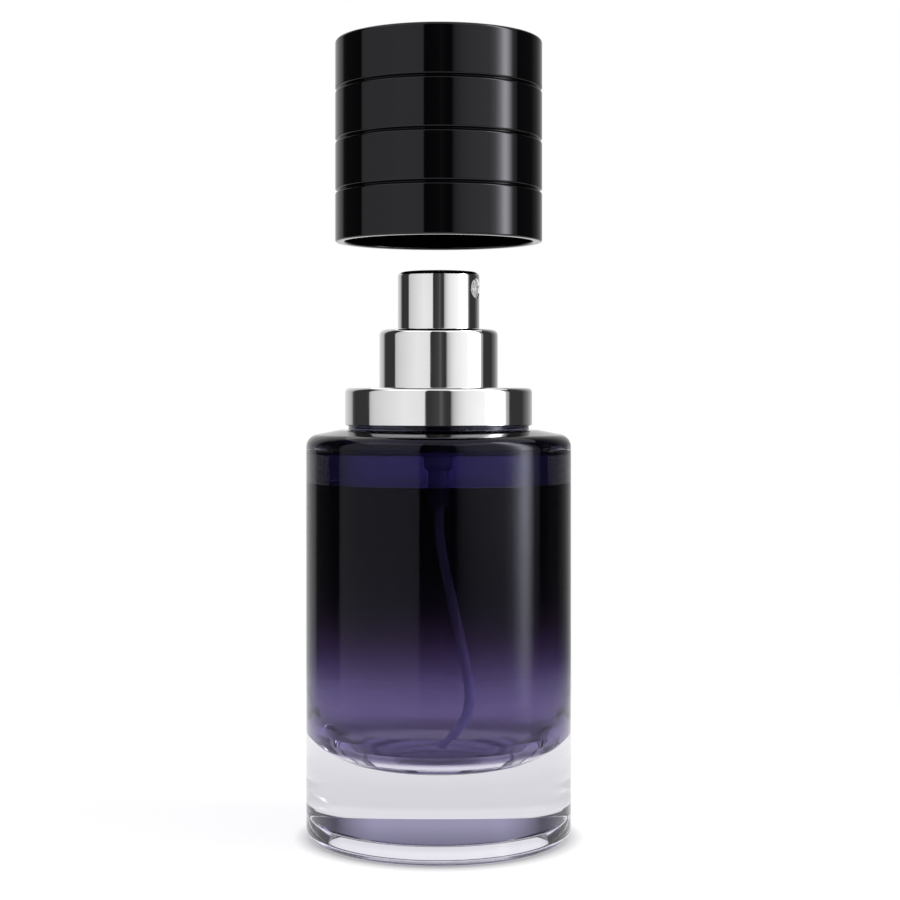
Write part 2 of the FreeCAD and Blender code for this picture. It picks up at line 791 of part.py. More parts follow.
def make_actuator_shell():
    """Polished finger button with the nozzle opening in its side."""
    body = turned("actuator_shell", [
        ("0", "button_top - button_wall"),
        ("button_bore", "button_top - button_wall"),
        ("button_bore", "button_bottom"),
        ("button_radius", "button_bottom"),
        ("button_radius", "button_top"),
        ("0", "button_top"),
    ])
    button_inner = [("button_bore", "button_top - button_wall")]
    round_rings(body, "button_inner_fillet", "0.5 * button_round", button_inner)
    round_rings(body, "button_fillet", "button_round", [("button_radius", "button_top")])
    sketch = new_sketch(body, "nozzle_opening_section", "YZ_Plane")
    draw_circle(sketch, "0", "nozzle_height", "nozzle_radius")
    pocketed(body, sketch, "nozzle_opening", "2 * button_radius", True)
    return body


def make_actuator_core():
    """Moulding in the button: stem socket, rising channel, and the spinner post of the nozzle."""
    skirt = "core_radius - core_wall"
    hub = "stem_socket + socket_wall"
    body = turned("actuator_core", [
        ("0", "core_top"),
        ("core_radius - core_chamfer", "core_top"),
        ("core_radius", "core_top - core_chamfer"),
        ("core_radius", "button_bottom + button_wall"),
        (skirt, "button_bottom + button_wall"),
        (skirt, "web_bottom"),
        (hub, "web_bottom"),
        (hub, "hub_bottom"),
        ("stem_socket", "hub_bottom"),
        ("stem_socket", "stem_top"),
        ("feed_radius", "stem_top"),
        ("feed_radius", "feed_top"),
        ("0", "feed_top"),
    ])
    sketch = new_sketch(body, "nozzle_pocket_section", "YZ_Plane")
    draw_circle(sketch, "0", "nozzle_height", "nozzle_radius")
    draw_circle(sketch, "0", "nozzle_height", "spinner_radius")
    pocketed(body, sketch, "nozzle_pocket", "2 * button_radius", True)
    sketch = new_sketch(body, "spinner_tip_section", "YZ_Plane", "spinner_tip")
    draw_circle(sketch, "0", "nozzle_height", "(spinner_radius + nozzle_radius) / 2")
    pocketed(body, sketch, "spinner_trim", "2 * button_radius", True)
    return body


def make_nozzle_insert():
    """Spray cup: open at the back over the spinner post, with a dished face and a fine orifice."""
    outside = "nozzle_radius - fit_gap"
    inside = "spinner_radius + spinner_gap"
    body = turned("nozzle_insert", [
        (inside, "0"),
        (outside, "0"),
        (outside, "nozzle_length"),
        ("nozzle_dish_radius", "nozzle_length"),
        ("orifice_radius", "nozzle_length - nozzle_dish_depth"),
        ("orifice_radius", "nozzle_length - nozzle_front"),
        (inside, "nozzle_length - nozzle_front"),
    ])
    body.Placement = FreeCAD.Placement(Vector(0, 0, 0), FreeCAD.Rotation(Vector(0, 1, 0), 90))
    body.setExpression("Placement.Base.x", bound("nozzle_back"))
    body.setExpression("Placement.Base.z", bound("nozzle_height"))
    doc.recompute()
    return body


def make_cap_shell():
    """Cap with grooves that part it into equal bands."""
    body = turned("cap_shell", [
        ("0", "cap_under"),
        ("cap_bore", "cap_under"),
        ("cap_bore", "cap_bottom"),
        ("cap_radius", "cap_bottom"),
        ("cap_radius", "cap_top"),
        ("0", "cap_top"),
    ])
    sketch = new_sketch(body, "groove_section", "XZ_Plane")
    draw_polygon(sketch, [
        ("cap_radius - groove_depth", "cap_bottom + cap_band"),
        ("cap_radius + groove_depth", "cap_bottom + cap_band - 2 * groove_half"),
        ("cap_radius + groove_depth", "cap_bottom + cap_band + 2 * groove_half"),
    ])
    groove = body.newObject("PartDesign::Groove", "cap_groove")
    groove.Profile = sketch
    groove.ReferenceAxis = (sketch, ["V_Axis"])
    groove.Angle = 360
    pattern = body.newObject("PartDesign::LinearPattern", "cap_grooves")
    pattern.Originals = [groove]
    pattern.Direction = (origin_feature(body, "Z_Axis"), [""])
    pattern.setExpression("Length", bound("cap_height - 2 * cap_band"))
    pattern.setExpression("Occurrences", bound("cap_bands - 1"))
    body.Tip = pattern
    doc.recompute()
    edges = []
    for band in range(1, round(number("cap_bands"))):
        edges.append(("cap_radius", f"cap_bottom + {band} * cap_band - groove_half"))
        edges.append(("cap_radius", f"cap_bottom + {band} * cap_band + groove_half"))
    round_rings(body, "groove_fillet", "groove_round", edges)
    round_rings(body, "cap_fillet", "cap_round", [("cap_radius", "cap_top")])
    mouth_edges = [("cap_radius", "cap_bottom"), ("cap_bore", "cap_bottom")]
    round_rings(body, "mouth_fillet", "cap_mouth_round", mouth_edges)
    return body


def make_cap_liner():
    """Inner moulding of the cap: plate under the top and a ribbed sleeve that grips the collar."""
    outside = "cap_bore - fit_gap"
    body = turned("cap_liner", [
        ("0", "liner_under"),
        ("sleeve_bore", "liner_under"),
        ("sleeve_bore", "sleeve_bottom"),
        ("sleeve_bore + sleeve_wall", "sleeve_bottom"),
        ("sleeve_bore + sleeve_wall", "liner_under"),
        (outside, "liner_under"),
        (outside, "cap_under"),
        ("0", "cap_under"),
    ])
    add_ribs(
        body, "grip_rib", "collar_radius + grip_gap", "sleeve_bore + sleeve_wall / 2", "rib_width",
        "sleeve_bottom + 1", "liner_under - sleeve_bottom", "grip_ribs",
    )
    return body


MAKERS = (
    make_glass_bottle,
    make_liquid_fill,
    make_pump_housing,
    make_inlet_ball,
    make_dip_tube,
    make_neck_gasket,
    make_stem_seal,
    make_pump_turret,
    make_crimp_ferrule,
    make_piston_seat,
    make_piston,
    make_valve_stem,
    make_return_spring,
    make_ring_insert,
    make_shoulder_ring,
    make_collar_insert,
    make_collar_cover,
    make_actuator_shell,
    make_actuator_core,
    make_nozzle_insert,
    make_cap_shell,
    make_cap_liner,
)

fill_sheet()
pieces = [maker() for maker in MAKERS]
doc.recompute()

for item in doc.Objects:
    if "Invalid" in item.State or "Error" in item.State:
        raise RuntimeError(f"{item.Label}: {item.State}")

os.makedirs("parts", exist_ok=True)
for piece in pieces:
    shape = piece.Shape
    if shape.isNull() or not shape.isValid() or not shape.Solids:
        raise RuntimeError(f"{piece.Label}: no valid solid")
    shape.exportStep(f"parts/{piece.Label}.step")
    print(piece.Label, len(shape.Solids), round(shape.Volume, 1), shape.BoundBox)
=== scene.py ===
"""Dresses the aftershave spray bottle: turned glass, polished metal tiers, gloss black cap and its studio."""

import logging
import math
from dataclasses import dataclass
from enum import Enum

import bmesh
import bpy
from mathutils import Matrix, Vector


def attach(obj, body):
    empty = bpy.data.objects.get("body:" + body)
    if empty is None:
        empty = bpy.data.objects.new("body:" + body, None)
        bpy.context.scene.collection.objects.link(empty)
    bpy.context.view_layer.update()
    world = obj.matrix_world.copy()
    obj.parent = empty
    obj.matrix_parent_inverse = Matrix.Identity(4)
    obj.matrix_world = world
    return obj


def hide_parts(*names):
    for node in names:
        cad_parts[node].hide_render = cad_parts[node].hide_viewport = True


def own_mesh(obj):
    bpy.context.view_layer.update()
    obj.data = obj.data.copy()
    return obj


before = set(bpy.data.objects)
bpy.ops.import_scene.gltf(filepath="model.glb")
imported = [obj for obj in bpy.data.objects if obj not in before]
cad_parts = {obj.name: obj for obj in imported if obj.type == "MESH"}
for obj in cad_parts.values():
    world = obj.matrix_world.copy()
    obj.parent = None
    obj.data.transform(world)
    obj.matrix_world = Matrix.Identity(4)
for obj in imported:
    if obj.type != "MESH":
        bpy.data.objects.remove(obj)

LOG = logging.getLogger("aftershave_bottle")
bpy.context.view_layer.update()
MM = 0.001
SEGMENTS = 192
ARC_STEPS = 10
SUPPORT = 0.06
LONG_RUN = 6.0 * SUPPORT
ON_AXIS = 1e-6
ZONE_MARGIN = 0.02
SHARP_ANGLE = math.radians(32.0)
CAMERA_TURN = math.radians(24.0)

Tree, Node, Socket = bpy.types.NodeTree, bpy.types.Node, bpy.types.NodeSocket
Piece, Material, Mesh = bpy.types.Object, bpy.types.Material, bmesh.types.BMesh
Colour = tuple[float, float, float]
Stop = tuple[float, Colour]
Level = tuple[float, float]
Feed = float | Socket
Span = tuple[Feed, Feed]
WHITE: Colour = (1.0, 1.0, 1.0)
LACQUER_SHADE: Colour = (0.45, 0.42, 0.62)
INNER_MIRROR: Colour = (0.1, 0.1, 0.12)
LIQUID_SHADE: Colour = (0.9, 0.89, 0.93)
FOOT_TINT: Colour = (0.80, 0.79, 0.84)
WALL_TINT: Colour = (0.86, 0.85, 0.90)
ROOF_TINT: Colour = (0.06, 0.05, 0.10)
BARE_TINT: Colour = (0.94, 0.93, 0.95)
# Painted highlight band in the liquid's bowl.
PAINTED_HIGHLIGHT_TINT: Colour = (0.90, 0.88, 0.94)
LIQUID_FOOT_TINT: Colour = (0.103, 0.081, 0.205)
LINE_STRETCH = (0.012, 0.012, 1.0)
LINE_PITCH, LINE_SMEAR = 9000.0, 140.0
GLASS_GRAIN, GLASS_CLOUD, GLASS_ROUGHNESS = 700.0, 90.0, 0.005
SPECK_REACH, SPECK_ROUGHNESS = 0.03, 0.05
MILKY_REACH = 0.0006
NOISE_RANGE: Level = (0.3, 0.7)
SIDE_RANGE: Level = (0.14, 0.3)
WHOLE_RANGE: Level = (0.0, 1.0)


class Body(Enum):
    """Moving bodies of the frame that new pieces ride on."""

    BOTTLE = "bottle_body"
    BUTTON = "button_head"
    CAP = "cap"


class Effect(Enum):
    """Shader node groups that several finishes share."""

    HEIGHT_SHARE = "height_share"
    TURNED_LINES = "turned_lines"
    SURFACE_GRAIN = "surface_grain"


@dataclass(frozen=True)
class Corner:
    """A corner of a turned section: distance from the axis, height and rounding, in millimetres."""

    radius: float
    height: float
    round: float = 0.0


def rounded_section(corners: list[Corner], closed: bool) -> list[tuple[float, float]]:
    """Works out the points of a turned section, with its corners rounded and its long runs held straight.

    Args:
        corners: the section's corners in order.
        closed: whether the last corner joins the first.

    Returns:
        Points as (radius, height), in millimetres.
    """
    points: list[Vector] = []
    count = len(corners)
    for k, corner in enumerate(corners):
        here = Vector((corner.radius, corner.height))
        if corner.round <= 0.0:
            points.append(here)
            continue
        before, after = corners[k - 1], corners[(k + 1) % count]
        back = (Vector((before.radius, before.height)) - here).normalized()
        on = (Vector((after.radius, after.height)) - here).normalized()
        half = back.angle(on) / 2.0
        reach = corner.round / math.tan(half)
        centre = here + (back + on).normalized() * (corner.round / math.sin(half))
        first = here + back * reach - centre
        sweep = first.angle_signed(here + on * reach - centre)
        for step in range(ARC_STEPS + 1):
            turn = -sweep * step / ARC_STEPS
            points.append(centre + Vector((
                first.x * math.cos(turn) - first.y * math.sin(turn),
                first.x * math.sin(turn) + first.y * math.cos(turn),
            )))
    held: list[tuple[float, float]] = []
    last = len(points) if closed else len(points) - 1
    for k, point in enumerate(points):
        held.append((point.x, point.y))
        if k >= last:
            continue
        run = points[(k + 1) % len(points)] - point
        if run.length > LONG_RUN:
            for share in (SUPPORT / run.length, 1.0 - SUPPORT / run.length):
                held.append(tuple(point + run * share))
    return held


def even_angles(count: int = SEGMENTS) -> list[float]:
    """Gives evenly spaced angles round the axis."""
    return [2.0 * math.pi * k / count for k in range(count)]


def bridge(bm: Mesh, lower: list, upper: list) -> None:
    """Joins two rings of a turned mesh, either of which may be one point on the axis.

    Args:
        bm: the mesh that is being built.
        lower: vertices of the first ring.
        upper: vertices of the second ring.
    """
    count = max(len(lower), len(upper))
    for k in range(count):
        j = (k + 1) % count
        if len(lower) == 1:
            bm.faces.new((lower[0], upper[j], upper[k]))
        elif len(upper) == 1:
            bm.faces.new((lower[k], lower[j], upper[0]))
        else:
            bm.faces.new((lower[k], lower[j], upper[j], upper[k]))


def ring_of(bm: Mesh, radius: float, height: float, angles: list[float]) -> list:
    """Adds one ring of a turned mesh.

    Args:
        bm: the mesh that is being built.
        radius: distance from the axis, in millimetres.
        height: height of the ring, in millimetres.
        angles: places round the axis, in radians.

    Returns:
        The ring's vertices, or one vertex where the ring is on the axis.
    """
    if radius < ON_AXIS:
        return [bm.verts.new((0.0, 0.0, height * MM))]
    return [bm.verts.new((radius * math.cos(a) * MM, radius * math.sin(a) * MM, height * MM)) for a in angles]


def in_scene(name: str, data: bpy.types.ID) -> Piece:
    """Adds an object that shows a block of data to the scene."""
    made = bpy.data.objects.new(name, data)
    bpy.context.scene.collection.objects.link(made)
    return made


def finished_object(name: str, bm: Mesh) -> Piece:
    """Turns a built mesh into a smooth shaded object in the scene.

    Args:
        name: the object's name.
        bm: the mesh, which is freed.

    Returns:
        The new object.
    """
    bmesh.ops.recalc_face_normals(bm, faces=bm.faces)
    for face in bm.faces:
        face.smooth = True
    mesh = bpy.data.meshes.new(name)
    bm.to_mesh(mesh)
    bm.free()
    mesh.set_sharp_from_angle(angle=SHARP_ANGLE)
    return in_scene(name, mesh)


def turned_object(name: str, corners: list[Corner], closed: bool) -> Piece:
    """Turns a section round the bottle's axis.

    Args:
        name: the object's name.
        corners: corners of the section.
        closed: whether the section is a ring that stays clear of the axis.

    Returns:
        The new object.
    """
    bm = bmesh.new()
    angles = even_angles()
    rings = [ring_of(bm, r, z, angles) for r, z in rounded_section(corners, closed)]
    for k in range(len(rings) if closed else len(rings) - 1):
        bridge(bm, rings[k], rings[(k + 1) % len(rings)])
    return finished_object(name, bm)


def place(piece: Piece, body: Body, slot: str, nodes: tuple[str, ...], *materials: Material) -> None:
    """Dresses a new piece, puts it on its body and lets it stand for its CAD nodes.

    Args:
        piece: the new object.
        body: the body that it rides on.
        slot: not used.
        nodes: the CAD nodes that it replaces.
        materials: materials for the piece's slots, in order.
    """
    for material in materials:
        piece.data.materials.append(material)
    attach(piece, body.value)
    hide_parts(*nodes)
    LOG.info("made %s on %s", piece.name, body.value)


def feed(node: Node, links: dict) -> None:
    """Feeds inputs of a node, given by name or number, each from a socket or with a plain value."""
    for name, value in links.items():
        if isinstance(value, Socket):
            node.id_data.links.new(value, node.inputs[name])
        else:
            node.inputs[name].default_value = value


def linked(tree: Tree, kind: str, links: dict, **settings: object) -> Node:
    """Adds a node, sets it up and feeds its inputs.

    Args:
        tree: the tree that takes the node.
        kind: the node's type.
        links: input name or number to the socket or value that feeds it.
        settings: properties of the node.

    Returns:
        The new node.
    """
    node = tree.nodes.new(kind)
    for name, value in settings.items():
        setattr(node, name, value)
    feed(node, links)
    return node


def mapped(tree: Tree, value: Socket, given: Span, wanted: Span = WHOLE_RANGE, **settings: object) -> Socket:
    """Spreads a value over another range and holds it at that range's ends.

    Args:
        tree: the tree that takes the node.
        value: the value.
        given: the range that it comes in.
        wanted: the range that it is spread over.
        settings: properties of the node.

    Returns:
        The spread value.
    """
    return linked(tree, "ShaderNodeMapRange", {
        "Value": value, "From Min": given[0], "From Max": given[1], "To Min": wanted[0], "To Max": wanted[1],
    }, **settings).outputs["Result"]


def computed(tree: Tree, operation: str, *values: Feed) -> Socket:
    """Works out one operation on two or three values."""
    return linked(tree, "ShaderNodeMath", dict(enumerate(values)), operation=operation).outputs[0]


def blended(tree: Tree, share: Feed, first: object, second: object, blend_type: str = "MIX") -> Socket:
    """Blends two colours, each a socket or a plain value, by a share of the second."""
    return linked(tree, "ShaderNodeMix", {
        "Factor": share, 6: first, 7: second}, data_type="RGBA", blend_type=blend_type).outputs[2]


def bare_tree(block: bpy.types.ID) -> Tree:
    """Gives the emptied node tree of a material, a lamp or a world."""
    block.use_nodes = True
    block.node_tree.nodes.clear()
    return block.node_tree


def place_in(tree: Tree) -> Socket:
    """Gives the place on the object's surface, in the object's own frame."""
    return linked(tree, "ShaderNodeTexCoord", {}).outputs["Object"]


def new_group(effect: Effect, inputs: dict[str, float], outputs: tuple[str, ...]) -> tuple:
    """Starts a shader node group.

    Args:
        effect: the effect that the group makes.
        inputs: names and default values of its inputs.
        outputs: names of its outputs.

    Returns:
        The group, the inputs that it is given, the node that it feeds and the place on the surface.
    """
    group = bpy.data.node_groups.new(effect.value, "ShaderNodeTree")
    for name, value in inputs.items():
        group.interface.new_socket(
            name=name, in_out="INPUT", socket_type="NodeSocketFloat").default_value = value
    for name in outputs:
        group.interface.new_socket(name=name, in_out="OUTPUT", socket_type="NodeSocketFloat")
    given, out = group.nodes.new("NodeGroupInput"), group.nodes.new("NodeGroupOutput")
    return group, given.outputs, out, place_in(group)


def build_height_share() -> Tree:
    """Builds the group that gives how far up a surface lies between two heights, from 0 to 1."""
    group, given, out, spot = new_group(Effect.HEIGHT_SHARE, {"Low": 0.0, "High": 0.1}, ("Share",))
    parts = linked(group, "ShaderNodeSeparateXYZ", {0: spot})
    feed(out, {"Share": mapped(group, parts.outputs["Z"], (given["Low"], given["High"]))})
    return group


def build_turned_lines() -> Tree:
    """Builds the group of fine polishing lines round the axis, with broad smears over them."""
    group, given, out, spot = new_group(
        Effect.TURNED_LINES, {"Pitch": 9000.0, "Smear": 120.0}, ("Lines", "Tone"))
    flat = linked(group, "ShaderNodeVectorMath", {0: spot, 1: LINE_STRETCH}, operation="MULTIPLY")
    lines = linked(group, "ShaderNodeTexNoise", {
        "Vector": flat.outputs[0], "Scale": given["Pitch"], "Detail": 3.0, "Roughness": 0.65})
    smear = linked(group, "ShaderNodeTexNoise", {
        "Vector": spot, "Scale": given["Smear"], "Detail": 4.0, "Distortion": 0.6})
    feed(out, {"Lines": lines.outputs["Fac"], "Tone": smear.outputs["Fac"]})
    return group


def build_surface_grain() -> Tree:
    """Builds the group of moulding grain: a fine height, a broad tone and sparse specks."""
    group, given, out, spot = new_group(
        Effect.SURFACE_GRAIN, {"Grain": 2500.0, "Cloud": 180.0}, ("Height", "Tone", "Specks"))
    for scale, detail, wanted in (("Grain", 2.0, "Height"), ("Cloud", 3.0, "Tone")):
        noise = linked(group, "ShaderNodeTexNoise", {"Vector": spot, "Scale": given[scale], "Detail": detail})
        feed(out, {wanted: noise.outputs["Fac"]})
    cells = linked(group, "ShaderNodeTexVoronoi", {"Vector": spot, "Scale": given["Cloud"]})
    feed(out, {"Specks": mapped(group, cells.outputs["Distance"], (SPECK_REACH, 0.0))})
    return group


GROUPS = {
    Effect.HEIGHT_SHARE: build_height_share(),
    Effect.TURNED_LINES: build_turned_lines(),
    Effect.SURFACE_GRAIN: build_surface_grain(),
}


def use_effect(tree: Tree, effect: Effect, **values: float) -> Node:
    """Places a shared effect in a material with its own values."""
    return linked(tree, "ShaderNodeGroup", values, node_tree=GROUPS[effect])


def new_material(name: str, values: dict[str, object]) -> tuple[Material, Node, Node]:
    """Starts a node material and gives it with its Principled shader, set to plain values, and its output."""
    material = bpy.data.materials.new(name)
    tree = bare_tree(material)
    shader = linked(tree, "ShaderNodeBsdfPrincipled", values)
    output = linked(tree, "ShaderNodeOutputMaterial", {"Surface": shader.outputs["BSDF"]})
    return material, shader, output


def ranged(tree: Tree, value: Socket, low: float, high: float) -> Socket:
    """Spreads the usual values of a noise over a range."""
    return mapped(tree, value, NOISE_RANGE, (low, high))


def toned(tree: Tree, share: Socket, dark: Colour, light: Colour) -> Socket:
    """Blends two colours by a value that changes over the surface."""
    return blended(tree, share, (*dark, 1.0), (*light, 1.0))


def stepped(tree: Tree, share: Socket, stops: tuple[Stop, ...], blend: str = "LINEAR") -> Socket:
    """Gives a colour that runs through stops of (share, colour) as a value goes from 0 to 1."""
    ramp = linked(tree, "ShaderNodeValToRGB", {"Fac": share})
    ramp.color_ramp.interpolation = blend
    steps = ramp.color_ramp.elements
    for k, (position, colour) in enumerate(stops):
        if k >= len(steps):
            steps.new(1.0)
        steps[k].position = position
        steps[k].color = (*colour, 1.0)
    return ramp.outputs["Color"]


def bumped(tree: Tree, height: Socket, depth: float) -> Socket:
    """Gives the normal of a surface that a height, with its depth in metres, roughens."""
    return linked(tree, "ShaderNodeBump", {
        "Height": height, "Strength": 1.0, "Distance": depth}).outputs["Normal"]


@dataclass(frozen=True)
class GlassFinish:
    """Clear glass or liquid, tinted by height where it has stops of (height in millimetres, colour)."""

    name: str
    ior: float
    stops: tuple[Stop, ...]
    mirror: Colour = WHITE
    shade: Colour = (0.93, 0.92, 0.95)
    blend: str = "LINEAR"
    side_shade_share: float = 1.0

    def material(self) -> Material:
        """Builds the material.

        Returns:
            The new material, which lets light from the lamps through to what is inside.
        """
        material, shader, output = new_material(self.name, {
            "Transmission Weight": 1.0, "IOR": self.ior, "Specular Tint": (*self.mirror, 1.0)})
        tree = material.node_tree
        low, high = self.stops[0][0], self.stops[-1][0]
        share = use_effect(tree, Effect.HEIGHT_SHARE, Low=low * MM, High=high * MM)
        tint = stepped(tree, share.outputs["Share"], tuple(
            ((height - low) / (high - low), colour) for height, colour in self.stops), self.blend)
        # Darkens the tint where the surface turns from view, towards the sides: painted shade along the edges.
        if self.side_shade_share < 1.0:
            aside = linked(tree, "ShaderNodeLayerWeight", {"Blend": 0.5})
            left = mapped(tree, aside.outputs["Facing"], SIDE_RANGE, (1.0, self.side_shade_share))
            tint = blended(tree, 1.0, tint, left, "MULTIPLY")
        grain = use_effect(tree, Effect.SURFACE_GRAIN, Grain=GLASS_GRAIN, Cloud=GLASS_CLOUD)
        feed(shader, {"Base Color": tint, "Roughness": ranged(tree, grain.outputs["Tone"], 0.0, GLASS_ROUGHNESS)})
        path = tree.nodes.new("ShaderNodeLightPath").outputs
        unseen = computed(tree, "MAXIMUM", path["Is Shadow Ray"], path["Is Diffuse Ray"])
        through = linked(tree, "ShaderNodeBsdfTransparent", {"Color": (*self.shade, 1.0)})
        blend = linked(tree, "ShaderNodeMixShader", {
            0: unseen, 1: shader.outputs["BSDF"], 2: through.outputs["BSDF"]})
        feed(output, {"Surface": blend.outputs["Shader"]})
        return material


@dataclass(frozen=True)
class MetalFinish:
    """Turned and polished metal, with fine lines round the axis and smears over them."""

    name: str
    dark: Colour
    light: Colour
    smooth: float
    rough: float
    line_depth: float

    def material(self) -> Material:
        """Builds the material and gives it."""
        material, shader, _ = new_material(self.name, {"Metallic": 1.0})
        tree = material.node_tree
        lines = use_effect(tree, Effect.TURNED_LINES, Pitch=LINE_PITCH, Smear=LINE_SMEAR).outputs
        feed(shader, {
            "Base Color": toned(tree, lines["Tone"], self.dark, self.light),
            "Roughness": ranged(tree, lines["Tone"], self.smooth, self.rough),
            "Normal": bumped(tree, lines["Lines"], self.line_depth)})
        return material


@dataclass(frozen=True)
class MouldedFinish:
    """Moulded plastic or rubber, from gloss to matt, with grain, cloudy tone and sparse specks."""

    name: str
    dark: Colour
    light: Colour
    smooth: float
    rough: float
    grain_depth: float
    ior: float = 1.45
    grain: float = 2500.0
    cloud: float = 180.0
    milky: float = 0.0
    sheen: Colour = WHITE

    def material(self) -> Material:
        """Builds the material and gives it."""
        material, shader, _ = new_material(self.name, {
            "IOR": self.ior, "Specular Tint": (*self.sheen, 1.0),
            "Subsurface Weight": self.milky, "Subsurface Scale": MILKY_REACH})
        tree = material.node_tree
        grain = use_effect(tree, Effect.SURFACE_GRAIN, Grain=self.grain, Cloud=self.cloud).outputs
        plain = ranged(tree, grain["Tone"], self.smooth, self.rough)
        feed(shader, {
            "Base Color": toned(tree, grain["Tone"], self.dark, self.light),
            "Roughness": computed(tree, "MULTIPLY_ADD", grain["Specks"], SPECK_ROUGHNESS, plain),
            "Normal": bumped(tree, grain["Height"], self.grain_depth)})
        return material


CLEAR_GLASS = GlassFinish("clear_glass", 1.5, (
    (0.0, FOOT_TINT), (2.4, FOOT_TINT), (3.2, (0.64, 0.63, 0.67)), (13.0, (0.66, 0.65, 0.69)),
    (20.0, WALL_TINT), (67.0, WALL_TINT), (67.5, ROOF_TINT), (69.5, ROOF_TINT),
), (0.29, 0.295, 0.38))
SHOULDER_GLASS = GlassFinish("shoulder_glass", 1.5, (
    (66.0, (0.06, 0.05, 0.14)), (70.0, (0.02, 0.02, 0.04)), (78.4, (0.02, 0.02, 0.03)),
), (0.5, 0.5, 0.6))
# Bowl wall: the white rings near 13.3 and 13.9 mm are painted highlights, and the darker bands round them up to 17
# mm are painted shade; from 19 mm up it runs into the bare wall's tint.
BOWL_WALL = GlassFinish("bowl_wall", 1.25, (
    (13.1, (0.46, 0.44, 0.51)), (13.16, (0.34, 0.32, 0.39)), (13.22, WHITE), (13.36, WHITE),
    (13.46, (0.20, 0.19, 0.24)), (13.62, (0.28, 0.26, 0.33)), (13.74, WHITE), (13.98, WHITE),
    (14.12, (0.18, 0.17, 0.22)), (17.0, (0.22, 0.21, 0.26)), (19.0, (0.60, 0.59, 0.64)), (26.0, BARE_TINT),
), INNER_MIRROR, LACQUER_SHADE)
BARE_WALL = GlassFinish(
    "bare_wall", 1.25, ((26.0, BARE_TINT), (62.2, (0.93, 0.92, 0.94))), INNER_MIRROR, LACQUER_SHADE)
PUNT_GLASS = GlassFinish("punt_glass", 1.2, ((0.0, (0.94, 0.93, 0.97)), (2.5, (0.96, 0.95, 0.98))))
# Headspace wall: dark blue tint, darkened towards its sides by painted shade.
HEADSPACE_WALL = GlassFinish("headspace_wall", 1.2, (
    (60.0, (0.013, 0.010, 0.058)), (65.8, (0.016, 0.012, 0.07)), (68.3, (0.012, 0.010, 0.055)),
), INNER_MIRROR, LACQUER_SHADE, side_shade_share=0.15)
AFTERSHAVE = GlassFinish("aftershave", 1.08, (
    (26.0, LIQUID_FOOT_TINT), (29.5, (0.055, 0.038, 0.104)), (32.1, (0.030, 0.0185, 0.058)),
    (36.0, (0.0096, 0.0044, 0.014)), (40.0, (0.0024, 0.0019, 0.0044)), (46.0, (0.0005, 0.0004, 0.0012)),
    (61.7, (0.0003, 0.0003, 0.0008)),
), INNER_MIRROR, LIQUID_SHADE, "B_SPLINE")
LIQUID_TOP = GlassFinish("liquid_top", 1.36, (
    (60.0, (0.0003, 0.0003, 0.0008)), (61.7, (0.0004, 0.0004, 0.001)),
), WHITE, LIQUID_SHADE)
# Liquid in the bowl: the bright band from 14.25 to 14.95 mm is a painted highlight, and the dark lines near 13.15
# and 16.1 mm are painted shade; from 18 mm up it is the liquid's own purple.
LIQUID_BOWL = GlassFinish("liquid_bowl", 1.08, (
    (12.9, (0.26, 0.22, 0.42)), (13.15, (0.12, 0.10, 0.22)), (14.0, (0.14, 0.12, 0.24)), (14.25, PAINTED_HIGHLIGHT_TINT),
    (14.95, PAINTED_HIGHLIGHT_TINT), (15.45, (0.34, 0.31, 0.45)), (16.1, (0.16, 0.13, 0.24)), (16.8, (0.24, 0.21, 0.35)),
    (18.0, (0.22, 0.175, 0.37)), (21.0, (0.175, 0.132, 0.30)), (23.5, (0.14, 0.104, 0.256)),
    (26.0, LIQUID_FOOT_TINT),
), INNER_MIRROR, LIQUID_SHADE)
POLISHED_METAL = MetalFinish(
    "polished_metal", (0.88, 0.88, 0.885), (0.94, 0.94, 0.945), 0.035, 0.075, 4e-7)
CRIMP_METAL = MetalFinish("crimp_metal", (0.72, 0.73, 0.74), (0.83, 0.84, 0.85), 0.18, 0.3, 2e-6)
SPRING_STEEL = MetalFinish("spring_steel", (0.55, 0.55, 0.56), (0.68, 0.68, 0.69), 0.16, 0.28, 1e-6)
BALL_STEEL = MetalFinish("ball_steel", (0.62, 0.62, 0.63), (0.74, 0.74, 0.75), 0.05, 0.1, 4e-7)
BLACK_GLOSS = MouldedFinish(
    "black_gloss", (0.0005, 0.0005, 0.0007), (0.0010, 0.0010, 0.0013), 0.02, 0.045, 2e-7, 1.42, 1800.0, 150.0,
    sheen=(0.95, 0.95, 1.05))
BLACK_MOULDING = MouldedFinish("black_moulding", (0.006, 0.006, 0.007), (0.010, 0.010, 0.012), 0.38, 0.5, 6e-6)
NATURAL_MOULDING = MouldedFinish(
    "natural_moulding", (0.62, 0.62, 0.66), (0.74, 0.74, 0.77), 0.28, 0.4, 4e-6, 1.5, 2500.0, 240.0, 0.3)
HOUSING_MOULDING = MouldedFinish(
    "housing_moulding", (0.15, 0.13, 0.24), (0.21, 0.19, 0.32), 0.08, 0.16, 2e-6, 1.5, 2500.0, 240.0)
NOZZLE_MOULDING = MouldedFinish("nozzle_moulding", (0.40, 0.40, 0.41), (0.52, 0.52, 0.53), 0.2, 0.3, 3e-6)
CLEAR_TUBE = MouldedFinish(
    "clear_tube", (0.55, 0.54, 0.68), (0.70, 0.69, 0.80), 0.2, 0.32, 3e-6, 1.45, 2500.0, 300.0, 0.2)
SEAL_RUBBER = MouldedFinish("seal_rubber", (0.05, 0.05, 0.052), (0.08, 0.08, 0.082), 0.6, 0.75, 1e-5)


